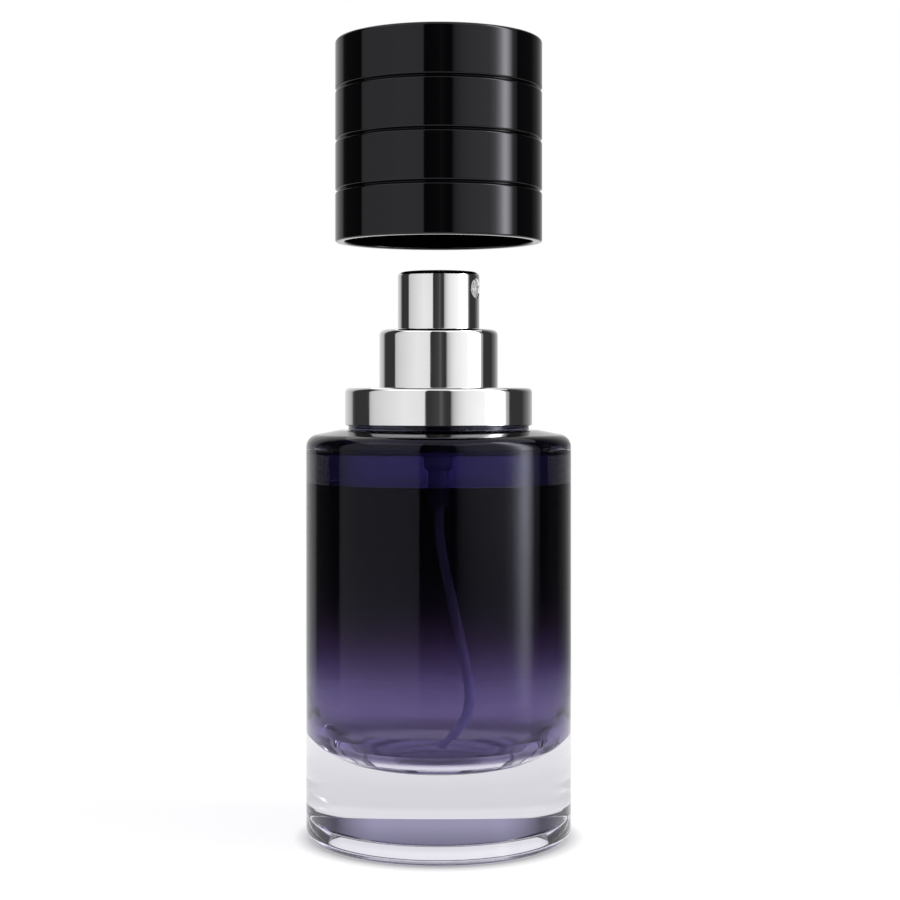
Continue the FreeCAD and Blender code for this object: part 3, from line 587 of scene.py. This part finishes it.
class GlassZone(Enum):
    """Zones of the glass, in the order of its material slots."""

    OUTSIDE = 0
    CAVITY = 1
    HEADSPACE = 2
    SHOULDER = 3
    PUNT = 4
    BOWL = 5

    def finish(self) -> GlassFinish:
        """Gives the finish of the zone."""
        return (CLEAR_GLASS, BARE_WALL, HEADSPACE_WALL, SHOULDER_GLASS, PUNT_GLASS, BOWL_WALL)[self.value]


class LiquidZone(Enum):
    """Zones of the liquid, in the order of its material slots."""

    BODY = 0
    TOP = 1
    BOWL = 2

    def finish(self) -> GlassFinish:
        """Gives the finish of the zone."""
        return (AFTERSHAVE, LIQUID_TOP, LIQUID_BOWL)[self.value]


@dataclass
class GlassBottle:
    """Glass bottle and its liquid, turned from the CAD's own sizes, in millimetres."""

    radius: float = 23.0
    shoulder: float = 69.5
    shoulder_round: float = 2.2
    heel_round: float = 2.0
    punt_radius: float = 15.0
    punt_depth: float = 2.5
    punt_draft: float = 0.3
    punt_round: float = 0.6
    edge_round: float = 0.2
    land_radius: float = 17.2
    land_top: float = 70.6
    land_round: float = 0.3
    seat_radius: float = 15.7
    seat_top: float = 71.4
    neck_radius: float = 6.6
    bead_radius: float = 7.5
    bead_height: float = 3.2
    bead_round: float = 0.7
    bore_radius: float = 4.8
    bore_round: float = 0.3
    lip: float = 78.4
    roof: float = 68.3
    roof_round: float = 2.0
    cavity_radius: float = 19.0
    floor: float = 13.1
    floor_round: float = 12.9
    level: float = 61.4
    meniscus: float = 0.1
    wetting: float = 0.12
    climb: tuple[Level, ...] = ((0.25, 0.45), (0.7, 0.15), (1.5, 0.0))

    def glass(self) -> None:
        """Builds the glass as one closed skin, with a finish for each of its zones."""
        bottle = turned_object("bottle_glass", [
            Corner(0.0, self.punt_depth),
            Corner(self.punt_radius - self.punt_draft, self.punt_depth, self.punt_round),
            Corner(self.punt_radius, 0.0, self.edge_round),
            Corner(self.radius, 0.0, self.heel_round),
            Corner(self.radius, self.shoulder, self.shoulder_round),
            Corner(self.land_radius, self.land_top, self.land_round),
            Corner(self.seat_radius, self.land_top, self.edge_round),
            Corner(self.seat_radius, self.seat_top),
            Corner(self.neck_radius, self.seat_top),
            Corner(self.neck_radius, self.lip - self.bead_height),
            Corner(self.bead_radius, self.lip - self.bead_height, self.bead_round),
            Corner(self.bead_radius, self.lip, self.bead_round),
            Corner(self.bore_radius, self.lip, self.bore_round),
            Corner(self.bore_radius, self.roof, self.bore_round),
            Corner(self.cavity_radius, self.roof, self.roof_round),
            Corner(self.cavity_radius, self.level + self.meniscus),
            Corner(self.cavity_radius, self.floor, self.floor_round),
            Corner(0.0, self.floor),
        ], False)
        place(bottle, Body.BOTTLE, "clear_glass", ("glass_bottle",),
              *(zone.finish().material() for zone in GlassZone))
        for face in bottle.data.polygons:
            face.material_index = self.zone(Vector(face.center) / MM).value

    def zone(self, spot: Vector) -> GlassZone:
        """Tells which zone of the glass a place on it lies in, in millimetres."""
        out, height = spot.xy.length, spot.z
        if out < self.cavity_radius + ZONE_MARGIN and self.floor - ZONE_MARGIN < height < self.roof + ZONE_MARGIN:
            if height < self.floor + self.floor_round:
                return GlassZone.BOWL
            return GlassZone.HEADSPACE if height > self.level + self.meniscus else GlassZone.CAVITY
        if height < self.punt_depth + ZONE_MARGIN and out < self.punt_radius + self.punt_round:
            return GlassZone.PUNT
        return GlassZone.SHOULDER if height > self.shoulder - self.shoulder_round else GlassZone.OUTSIDE

    def liquid(self) -> None:
        """Builds the liquid, which wets the glass and climbs it a little at its level."""
        wall = self.cavity_radius + self.wetting
        base = self.floor - self.wetting
        fill = turned_object("liquid", [
            Corner(0.0, base),
            Corner(wall, base, self.floor_round + self.wetting),
            Corner(wall, self.level + self.meniscus),
            *(Corner(wall - away, self.level + share * self.meniscus) for away, share in self.climb),
            Corner(0.0, self.level),
        ], False)
        place(fill, Body.BOTTLE, "aftershave", ("liquid_fill",),
              *(zone.finish().material() for zone in LiquidZone))
        for face in fill.data.polygons:
            height = face.center.z / MM
            if height < self.floor + self.floor_round:
                zone = LiquidZone.BOWL
            else:
                zone = LiquidZone.TOP if height > self.level - ZONE_MARGIN / 2.0 else LiquidZone.BODY
            face.material_index = zone.value


@dataclass
class MetalTiers:
    """The two fixed metal tiers on the shoulder, in millimetres."""

    ring_radius: float = 16.25
    ring_hole: float = 8.35
    ring_wall: float = 0.8
    ring_round: float = 0.8
    ring_foot_round: float = 0.24
    ring_bottom: float = 71.4
    ring_top: float = 77.9
    collar_radius: float = 10.3
    collar_opening: float = 7.32
    collar_wall: float = 0.5
    collar_round: float = 1.0
    collar_bore_round: float = 0.5
    opening_round: float = 0.15
    collar_top: float = 88.0

    def ring(self, metal: Material) -> None:
        """Builds the wide ring that sits on the glass."""
        bore = self.ring_radius - self.ring_wall
        ring = turned_object("wide_ring", [
            Corner(self.ring_hole, self.ring_top - self.ring_wall),
            Corner(bore, self.ring_top - self.ring_wall),
            Corner(bore, self.ring_bottom),
            Corner(self.ring_radius, self.ring_bottom, self.ring_foot_round),
            Corner(self.ring_radius, self.ring_top, self.ring_round),
            Corner(self.ring_hole, self.ring_top),
        ], True)
        place(ring, Body.BOTTLE, "polished_metal", ("shoulder_ring",), metal)

    def collar(self, metal: Material) -> None:
        """Builds the collar over the crimped neck."""
        bore = self.collar_radius - self.collar_wall
        collar = turned_object("crimp_collar", [
            Corner(self.collar_opening, self.collar_top - self.collar_wall),
            Corner(bore, self.collar_top - self.collar_wall, self.collar_bore_round),
            Corner(bore, self.ring_top),
            Corner(self.collar_radius, self.ring_top),
            Corner(self.collar_radius, self.collar_top, self.collar_round),
            Corner(self.collar_opening, self.collar_top, self.opening_round),
        ], True)
        place(collar, Body.BOTTLE, "polished_metal", ("collar_cover",), metal)


@dataclass
class FingerButton:
    """Polished button with the nozzle opening in its side, in millimetres."""

    radius: float = 7.1
    wall: float = 0.4
    round: float = 0.8
    bottom: float = 85.3
    top: float = 98.0
    hole_radius: float = 1.65
    hole_height: float = 95.0
    hole_lip: float = 0.12
    hole_rings: tuple[float, ...] = (0.45, 0.8, 1.0)
    patch: float = 2.02
    columns: int = 12

    def angles(self) -> list[float]:
        """Gives the places round the axis, closer together across the opening."""
        half = self.patch / self.radius
        across = [math.asin(half * (2.0 * k / self.columns - 1.0)) for k in range(self.columns + 1)]
        rest = SEGMENTS - self.columns
        span = 2.0 * math.pi - 2.0 * across[-1]
        return across + [across[-1] + span * k / rest for k in range(1, rest)]

    def at_opening(self, vertex: bmesh.types.BMVert, hole: float, share: float = 1.0) -> Level:
        """Gives where a place on the wall comes to, across and up, as it moves to the edge of an opening."""
        y, z = vertex.co.y / MM, vertex.co.z / MM - self.hole_height
        grown = 1.0 + (hole / math.hypot(y, z) - 1.0) * share
        return y * grown, z * grown + self.hole_height

    def pierced_wall(self, bm: Mesh, radius: float, heights: Level, hole: float) -> tuple:
        """Builds one skin of the button's side with the round opening in it.

        Args:
            bm: the mesh that is being built.
            radius: radius of the skin.
            heights: its lowest and highest edge.
            hole: radius of the opening in this skin.

        Returns:
            The bottom ring, the top ring and the ring round the opening.
        """
        angles = self.angles()
        levels = [self.hole_height + self.patch * (2.0 * k / self.columns - 1.0) for k in range(self.columns + 1)]
        rows = [heights[0], heights[0] + SUPPORT, *levels, heights[1] - SUPPORT / 4.0, heights[1]]
        first, last = 2, 2 + self.columns
        grid: dict[tuple[int, int], bmesh.types.BMVert] = {}
        for j, z in enumerate(rows):
            for i, a in enumerate(angles):
                if not (first < j < last and 0 < i < self.columns):
                    grid[j, i] = bm.verts.new((radius * math.cos(a) * MM, radius * math.sin(a) * MM, z * MM))
        for j in range(len(rows) - 1):
            for i in range(len(angles)):
                if not (first <= j < last and i < self.columns):
                    k = (i + 1) % len(angles)
                    bm.faces.new((grid[j, i], grid[j, k], grid[j + 1, k], grid[j + 1, i]))
        edge = [grid[first, i] for i in range(self.columns)]
        edge += [grid[j, self.columns] for j in range(first, last)]
        edge += [grid[last, i] for i in range(self.columns, 0, -1)]
        edge += [grid[j, 0] for j in range(last, first, -1)]
        ring = edge
        for share in self.hole_rings:
            inner = []
            for vertex in edge:
                y, z = self.at_opening(vertex, hole, share)
                inner.append(bm.verts.new((math.sqrt(radius * radius - y * y) * MM, y * MM, z * MM)))
            bridge(bm, ring, inner)
            ring = inner
        bottom, top = ([grid[j, i] for i in range(len(angles))] for j in (0, len(rows) - 1))
        return bottom, top, ring

    def button(self, metal: Material) -> None:
        """Builds the button's shell.

        Args:
            metal: the polished finish.
        """
        bm = bmesh.new()
        bore, under, bore_round = self.radius - self.wall, self.top - self.wall, 0.5 * self.round
        mouth = self.hole_radius + self.hole_lip
        outer = self.pierced_wall(bm, self.radius, (self.bottom, self.top - self.round), mouth)
        inner = self.pierced_wall(bm, bore, (self.bottom, under - bore_round), self.hole_radius)
        angles = self.angles()
        bridge(bm, outer[0], inner[0])
        for ring, edge, crown, fillet in (
            (outer[1], self.radius, self.top, self.round), (inner[1], bore, under, bore_round)):
            for step in range(1, ARC_STEPS + 1):
                turn = 0.5 * math.pi * step / ARC_STEPS
                above = ring_of(
                    bm, edge - fillet + fillet * math.cos(turn), crown - fillet + fillet * math.sin(turn), angles)
                bridge(bm, ring, above)
                ring = above
            held = ring_of(bm, edge - fillet - SUPPORT, crown, angles)
            bridge(bm, ring, held)
            bridge(bm, held, ring_of(bm, 0.0, crown, angles))
        lip = []
        for vertex in outer[2]:
            y, z = self.at_opening(vertex, self.hole_radius)
            lip.append(bm.verts.new((vertex.co.x - self.hole_lip * MM, y * MM, z * MM)))
        bridge(bm, outer[2], lip)
        bridge(bm, lip, inner[2])
        shell = finished_object("finger_button", bm)
        place(shell, Body.BUTTON, "polished_metal", ("actuator_shell",), metal)


@dataclass
class LiftCap:
    """Gloss black cap, shown lifted, with grooves that part it into equal bands, in millimetres."""

    radius: float = 18.0
    bore: float = 16.4
    bottom: float = 103.2
    top: float = 138.2
    under: float = 136.35
    under_round: float = 0.3
    crown_round: float = 0.6
    crown_rings: tuple[float, ...] = (0.95, 0.9, 0.3, 0.0)
    mouth_round: float = 0.35
    bands: int = 4
    groove_half: float = 0.4
    groove_depth: float = 0.45
    groove_round: float = 0.3
    groove_foot_round: float = 0.06

    def shell(self) -> None:
        """Builds the cap's shell."""
        corners = [
            Corner(0.0, self.under),
            Corner(self.bore, self.under, self.under_round),
            Corner(self.bore, self.bottom, self.mouth_round),
            Corner(self.radius, self.bottom, self.mouth_round),
        ]
        band = (self.top - self.bottom) / self.bands
        for k in range(1, self.bands):
            height = self.bottom + k * band
            corners += [
                Corner(self.radius, height - self.groove_half, self.groove_round),
                Corner(self.radius - self.groove_depth, height, self.groove_foot_round),
                Corner(self.radius, height + self.groove_half, self.groove_round),
            ]
        corners += [Corner(self.radius, self.top, self.crown_round)]
        corners += [Corner(share * self.radius, self.top) for share in self.crown_rings]
        cap = turned_object("cap_outside", corners, False)
        place(cap, Body.CAP, "black_gloss", ("cap_shell",), BLACK_GLOSS.material())


@dataclass
class PumpWorks:
    """Inner pieces that keep their CAD shape, and the return spring's coil."""

    coil_radius: float = 2.15
    wire: float = 0.4
    turns: float = 4.5
    bottom: float = 67.65
    top: float = 73.85
    stroke: float = 4.0
    wire_sides: int = 10
    steps_per_turn: int = 36

    def coil(self) -> None:
        """Builds the return spring as a wound wire."""
        bm = bmesh.new()
        half = self.wire / 2.0
        low, high = self.bottom + half, self.top - half
        count = round(self.turns * self.steps_per_turn)
        rings = []
        for k in range(count + 1):
            share = k / count
            turn = 2.0 * math.pi * self.turns * share
            out = Vector((math.cos(turn), math.sin(turn), 0.0))
            centre = out * self.coil_radius + Vector((0.0, 0.0, low + (high - low) * share))
            rings.append([
                bm.verts.new((centre + (out * math.cos(a) + Vector((0.0, 0.0, math.sin(a)))) * half) * MM)
                for a in even_angles(self.wire_sides)
            ])
        for first, second in zip(rings, rings[1:]):
            bridge(bm, first, second)
        bm.faces.new(rings[0])
        bm.faces.new(rings[-1])
        coil = finished_object("coil_spring", bm)
        place(coil, Body.BOTTLE, "spring_steel", ("return_spring",), SPRING_STEEL.material())
        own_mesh(coil)

    def dress(self) -> None:
        """Gives the CAD pieces that stay in view, or inside, their finishes."""
        for finish, nodes in (
            (CRIMP_METAL, ("crimp_ferrule",)),
            (BALL_STEEL, ("inlet_ball",)),
            (BLACK_MOULDING, ("cap_liner", "ring_insert")),
            (NATURAL_MOULDING, (
                "pump_turret", "valve_stem", "piston_seat", "piston", "collar_insert", "actuator_core")),
            (HOUSING_MOULDING, ("pump_housing",)),
            (NOZZLE_MOULDING, ("nozzle_insert",)),
            (CLEAR_TUBE, ("dip_tube",)),
            (SEAL_RUBBER, ("neck_gasket", "stem_seal")),
        ):
            material = finish.material()
            for name in nodes:
                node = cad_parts[name]
                for slot in node.material_slots:
                    slot.material = material
                LOG.info("dressed %s in %s", name, finish.name)


@dataclass
class Studio:
    """Floor, curved backdrop, lamps, surroundings and camera, in metres and degrees from the camera's side."""

    camera_distance: float = 0.325
    camera_height: float = 0.077
    lens: float = 74.68
    shift_x: float = 0.0126
    shift_y: float = -0.0633
    sensor: float = 36.0
    clip: Level = (0.01, 20.0)
    lamp_distance: float = 0.75
    lamp_height: float = 1.9
    fade_low: float = -0.10
    fade_high: float = 0.01
    lamp_foot: float = -0.6
    table_radius: float = 0.25
    table_sides: int = 96
    table_rings: tuple[float, ...] = (0.0, 0.3, 0.6, 0.8, 1.0)
    table_fade: Level = (0.4, 0.97)
    table_colour: Colour = (0.28, 0.28, 0.283)
    table_glow: float = 0.74
    # Reach and depth of the painted contact shadow in the table's glow.
    painted_shadow_reach: float = 0.0028
    painted_shadow_level: float = 0.15
    backdrop_radius: float = 1.4
    backdrop_half: float = 56.0
    backdrop_steps: int = 56
    backdrop_heights: Level = (-1.2, 1.6)
    rise_limit: float = 0.26
    through_tints: tuple[Stop, ...] = (
        (0.14, WHITE), (0.205, (0.60, 0.58, 0.78)), (0.232, (0.46, 0.44, 0.62)), (0.25, (0.18, 0.17, 0.26)))
    side_tint: Colour = (0.06, 0.055, 0.09)
    side_range: Level = (0.88, 0.55)
    high_range: Level = (0.55, 0.8)
    mirrored_levels: tuple[Level, ...] = (
        (-54.0, 0.05), (-51.0, 0.08), (-47.0, 0.40), (-35.0, 0.58), (-25.0, 0.68), (-18.0, 0.70), (-9.0, 0.80),
        (0.0, 0.95), (9.0, 0.74), (18.0, 0.52), (25.0, 0.42), (43.0, 0.16), (56.0, 0.05))
    overhead_size: float = 2.0
    overhead_height: float = 1.1
    overhead_level: float = 0.75
    left_box: tuple[Level, ...] = (
        (-93.5, 0.15), (-91.0, 0.50), (-84.0, 0.60), (-62.0, 0.73), (-42.0, 0.83), (-26.0, 0.80), (-17.0, 0.76),
        (-15.5, 0.1))
    front_gleam: tuple[Level, ...] = ((-10.0, 0.0), (0.0, 0.02), (3.0, 0.07), (6.0, 0.02), (10.0, 0.0))
    right_box: tuple[Level, ...] = (
        (14.5, 0.12), (18.0, 0.46), (25.0, 0.70), (33.0, 0.84), (48.0, 0.96), (57.0, 1.0), (64.0, 1.7),
        (70.0, 4.0), (74.0, 6.8), (77.5, 8.2), (81.5, 6.0), (84.5, 3.6), (87.5, 1.2), (90.0, 0.45), (94.0, 0.3),
        (96.0, 0.05))
    right_foot: float = 0.35
    fill_levels: Level = (0.035, 0.45)

    def towards(self, degrees: float) -> Vector:
        """Gives the level direction so many degrees right of the camera, seen from the bottle."""
        turn = math.radians(degrees)
        front = Vector((math.sin(CAMERA_TURN), -math.cos(CAMERA_TURN), 0.0))
        right = Vector((math.cos(CAMERA_TURN), math.sin(CAMERA_TURN), 0.0))
        return front * math.cos(turn) + right * math.sin(turn)

    def aim(self, piece: Piece, way: Vector) -> None:
        """Turns a lamp or the camera, which stands in a level direction, towards the axis."""
        piece.rotation_mode = "QUATERNION"
        piece.rotation_quaternion = (-way).to_track_quat("-Z", "Y")

    def seen(self, tree: Tree) -> Socket:
        """Gives 1 for rays of the camera, of reflections and of refractions, and 0 for the rest."""
        path = tree.nodes.new("ShaderNodeLightPath").outputs
        most = computed(tree, "MAXIMUM", path["Is Camera Ray"], path["Is Glossy Ray"])
        return computed(tree, "MAXIMUM", most, path["Is Transmission Ray"])

    def along(self, tree: Tree, spot: Socket, degrees: float) -> Socket:
        """Gives how far a place lies from the axis in a level direction, in metres."""
        way = self.towards(degrees)
        return linked(tree, "ShaderNodeVectorMath", {
            0: spot, 1: (way.x, way.y, 0.0)}, operation="DOT_PRODUCT").outputs["Value"]

    def floor(self) -> None:
        """Builds the round white table top, which keeps the bottle's shadow, darkens its glow round the base with
        a painted contact shadow, and fades into the white.
        """
        bm = bmesh.new()
        angles = even_angles(self.table_sides)
        rings = [ring_of(bm, share * self.table_radius / MM, 0.0, angles) for share in self.table_rings]
        for first, second in zip(rings, rings[1:]):
            bridge(bm, first, second)
        floor = finished_object("white_floor", bm)
        material = bpy.data.materials.new("white_floor")
        tree = bare_tree(material)
        away = linked(tree, "ShaderNodeVectorMath", {0: place_in(tree)}, operation="LENGTH")
        # Ambient occlusion darkens the glow that the camera sees round the base: a painted contact shadow.
        near = linked(tree, "ShaderNodeAmbientOcclusion", {"Distance": self.painted_shadow_reach})
        painted_contact_shadow = mapped(tree, near.outputs["AO"], WHOLE_RANGE, (self.painted_shadow_level, 1.0))
        path = tree.nodes.new("ShaderNodeLightPath").outputs
        shaded = mapped(tree, path["Is Camera Ray"], WHOLE_RANGE, (1.0, painted_contact_shadow))
        whole = computed(tree, "MULTIPLY", shaded, self.table_glow)
        glow = computed(tree, "MULTIPLY", self.seen(tree), whole)
        light = linked(tree, "ShaderNodeEmission", {"Color": (*WHITE, 1.0), "Strength": glow})
        matt = linked(tree, "ShaderNodeBsdfDiffuse", {"Color": (*self.table_colour, 1.0)})
        both = linked(tree, "ShaderNodeAddShader", {0: light.outputs[0], 1: matt.outputs[0]})
        start, end = (share * self.table_radius for share in self.table_fade)
        rim = mapped(tree, away.outputs["Value"], (start, end), interpolation_type="SMOOTHSTEP")
        through = tree.nodes.new("ShaderNodeBsdfTransparent")
        faded = linked(tree, "ShaderNodeMixShader", {0: rim, 1: both.outputs[0], 2: through.outputs[0]})
        linked(tree, "ShaderNodeOutputMaterial", {"Surface": faded.outputs[0]})
        floor.data.materials.append(material)

    def backdrop(self) -> None:
        """Builds the curved backdrop behind the bottle, white to the camera and duller at its ends in mirrors."""
        bm = bmesh.new()
        columns = []
        for k in range(self.backdrop_steps + 1):
            share = 2.0 * k / self.backdrop_steps - 1.0
            way = self.towards(180.0 + share * self.backdrop_half) * self.backdrop_radius
            columns.append([bm.verts.new((way.x, way.y, z)) for z in self.backdrop_heights])
        for first, second in zip(columns, columns[1:]):
            bm.faces.new((first[0], second[0], second[1], first[1]))
        wall = finished_object("backdrop", bm)
        material = bpy.data.materials.new("backdrop")
        tree = bare_tree(material)
        spot = place_in(tree)
        path = tree.nodes.new("ShaderNodeLightPath").outputs
        radius = self.backdrop_radius
        across = mapped(tree, self.along(tree, spot, 90.0), (-radius, radius))
        mirrored = stepped(tree, across, tuple(
            (0.5 + 0.5 * math.sin(math.radians(away)), (level,) * 3) for away, level in self.mirrored_levels))
        parts = linked(tree, "ShaderNodeSeparateXYZ", {0: spot})
        rise = mapped(tree, parts.outputs["Z"], (0.0, radius * self.rise_limit))
        through = stepped(tree, rise, tuple(
            (height / self.rise_limit, tint) for height, tint in self.through_tints))
        edge = math.cos(math.radians(self.backdrop_half))
        behind = mapped(tree, self.along(tree, spot, 180.0), (radius * edge, radius))
        aside, high = mapped(tree, behind, self.side_range), mapped(tree, rise, self.high_range)
        through = blended(tree, computed(tree, "MULTIPLY", aside, high), through, (*self.side_tint, 1.0))
        glass = blended(tree, path["Is Transmission Ray"], mirrored, through)
        hue = blended(tree, path["Is Camera Ray"], glass, (*WHITE, 1.0))
        light = linked(tree, "ShaderNodeEmission", {"Color": hue, "Strength": self.seen(tree)})
        linked(tree, "ShaderNodeOutputMaterial", {"Surface": light.outputs[0]})
        wall.data.materials.append(material)

    def lamp(self, name: str, stops: tuple[Level, ...], foot_share: float = 1.0) -> None:
        """Hangs one upright soft box whose face grows brighter and duller from side to side.

        Args:
            name: the lamp's name.
            stops: how bright its face is, where 1 is white, at directions in degrees right of the camera.
            foot_share: what is left of that below the table's height, where the face fades out.
        """
        start, end = stops[0][0], stops[-1][0]
        middle, half = (start + end) / 2.0, math.radians((end - start) / 2.0)
        way = self.towards(middle)
        wide = 2.0 * self.lamp_distance * math.tan(half)
        peak = max(radiance for _, radiance in stops)
        data = bpy.data.lights.new(name, "AREA")
        data.shape = "RECTANGLE"
        data.size, data.size_y = wide, self.lamp_height
        data.energy = peak * wide * self.lamp_height * math.pi
        tree = bare_tree(data)
        face = linked(tree, "ShaderNodeNewGeometry", {})
        across = linked(tree, "ShaderNodeSeparateXYZ", {0: face.outputs["Parametric"]})
        level = stepped(tree, across.outputs["X"], tuple(
            (0.5 + 0.5 * math.tan(math.radians(degrees - middle)) / math.tan(half), (radiance / peak,) * 3)
            for degrees, radiance in stops))
        low, high = ((height - self.lamp_foot) / self.lamp_height for height in (self.fade_low, self.fade_high))
        fade = mapped(tree, across.outputs["Y"], (low, high), (foot_share, 1.0))
        light = linked(tree, "ShaderNodeEmission", {"Strength": computed(tree, "MULTIPLY", level, fade)})
        linked(tree, "ShaderNodeOutputLight", {"Surface": light.outputs[0]})
        lamp = in_scene(name, data)
        lamp.location = way * self.lamp_distance + Vector((0.0, 0.0, self.lamp_foot + self.lamp_height / 2.0))
        self.aim(lamp, way)
        lamp.visible_camera = False

    def overhead(self) -> None:
        """Hangs the square soft box over the bottle."""
        side = self.overhead_size
        data = bpy.data.lights.new("overhead", "AREA")
        data.shape = "SQUARE"
        data.size = side
        data.energy = self.overhead_level * side * side * math.pi
        lamp = in_scene("overhead", data)
        lamp.location = (0.0, 0.0, self.overhead_height)
        lamp.visible_camera = False

    def lamps(self) -> None:
        """Hangs the soft boxes: one on the left, a gleam, one on the right with its bright strip, one overhead."""
        self.lamp("left_box", self.left_box)
        self.lamp("front_gleam", self.front_gleam)
        self.lamp("right_box", self.right_box, self.right_foot)
        self.overhead()

    def surroundings(self) -> None:
        """Sets the world: white to the camera, dark in reflections and a plain fill for the rest."""
        world = bpy.data.worlds.new("surroundings")
        bpy.context.scene.world = world
        tree = bare_tree(world)
        path = tree.nodes.new("ShaderNodeLightPath").outputs
        fill = mapped(tree, path["Is Diffuse Ray"], WHOLE_RANGE, self.fill_levels)
        level = computed(tree, "MAXIMUM", path["Is Camera Ray"], fill)
        sky = linked(tree, "ShaderNodeBackground", {"Color": (*WHITE, 1.0), "Strength": level})
        linked(tree, "ShaderNodeOutputWorld", {"Surface": sky.outputs[0]})

    def camera(self) -> None:
        """Sets the level camera in front of the bottle, shifted as the picture is framed."""
        data = bpy.data.cameras.new("camera")
        data.lens, data.sensor_width = self.lens, self.sensor
        data.shift_x, data.shift_y = self.shift_x, self.shift_y
        data.clip_start, data.clip_end = self.clip
        camera = in_scene("camera", data)
        front = self.towards(0.0)
        camera.location = front * self.camera_distance + Vector((0.0, 0.0, self.camera_height))
        self.aim(camera, front)
        bpy.context.scene.camera = camera

    def build(self) -> None:
        """Builds the whole studio."""
        self.floor()
        self.backdrop()
        self.lamps()
        self.surroundings()
        self.camera()
        scene = bpy.context.scene
        scene.view_settings.view_transform = "Standard"
        scene.cycles.max_bounces = 24
        scene.cycles.transmission_bounces = 20
        scene.cycles.glossy_bounces = 8
        scene.cycles.transparent_max_bounces = 16


def main() -> None:
    """Builds each sub-assembly, dresses what stays and sets up the studio."""
    logging.basicConfig(level=logging.INFO)
    bottle = GlassBottle()
    bottle.glass()
    bottle.liquid()
    metal = POLISHED_METAL.material()
    tiers = MetalTiers()
    tiers.ring(metal)
    tiers.collar(metal)
    FingerButton().button(metal)
    LiftCap().shell()
    works = PumpWorks()
    works.coil()
    works.dress()
    Studio().build()


if __name__ == "__main__":
    main()
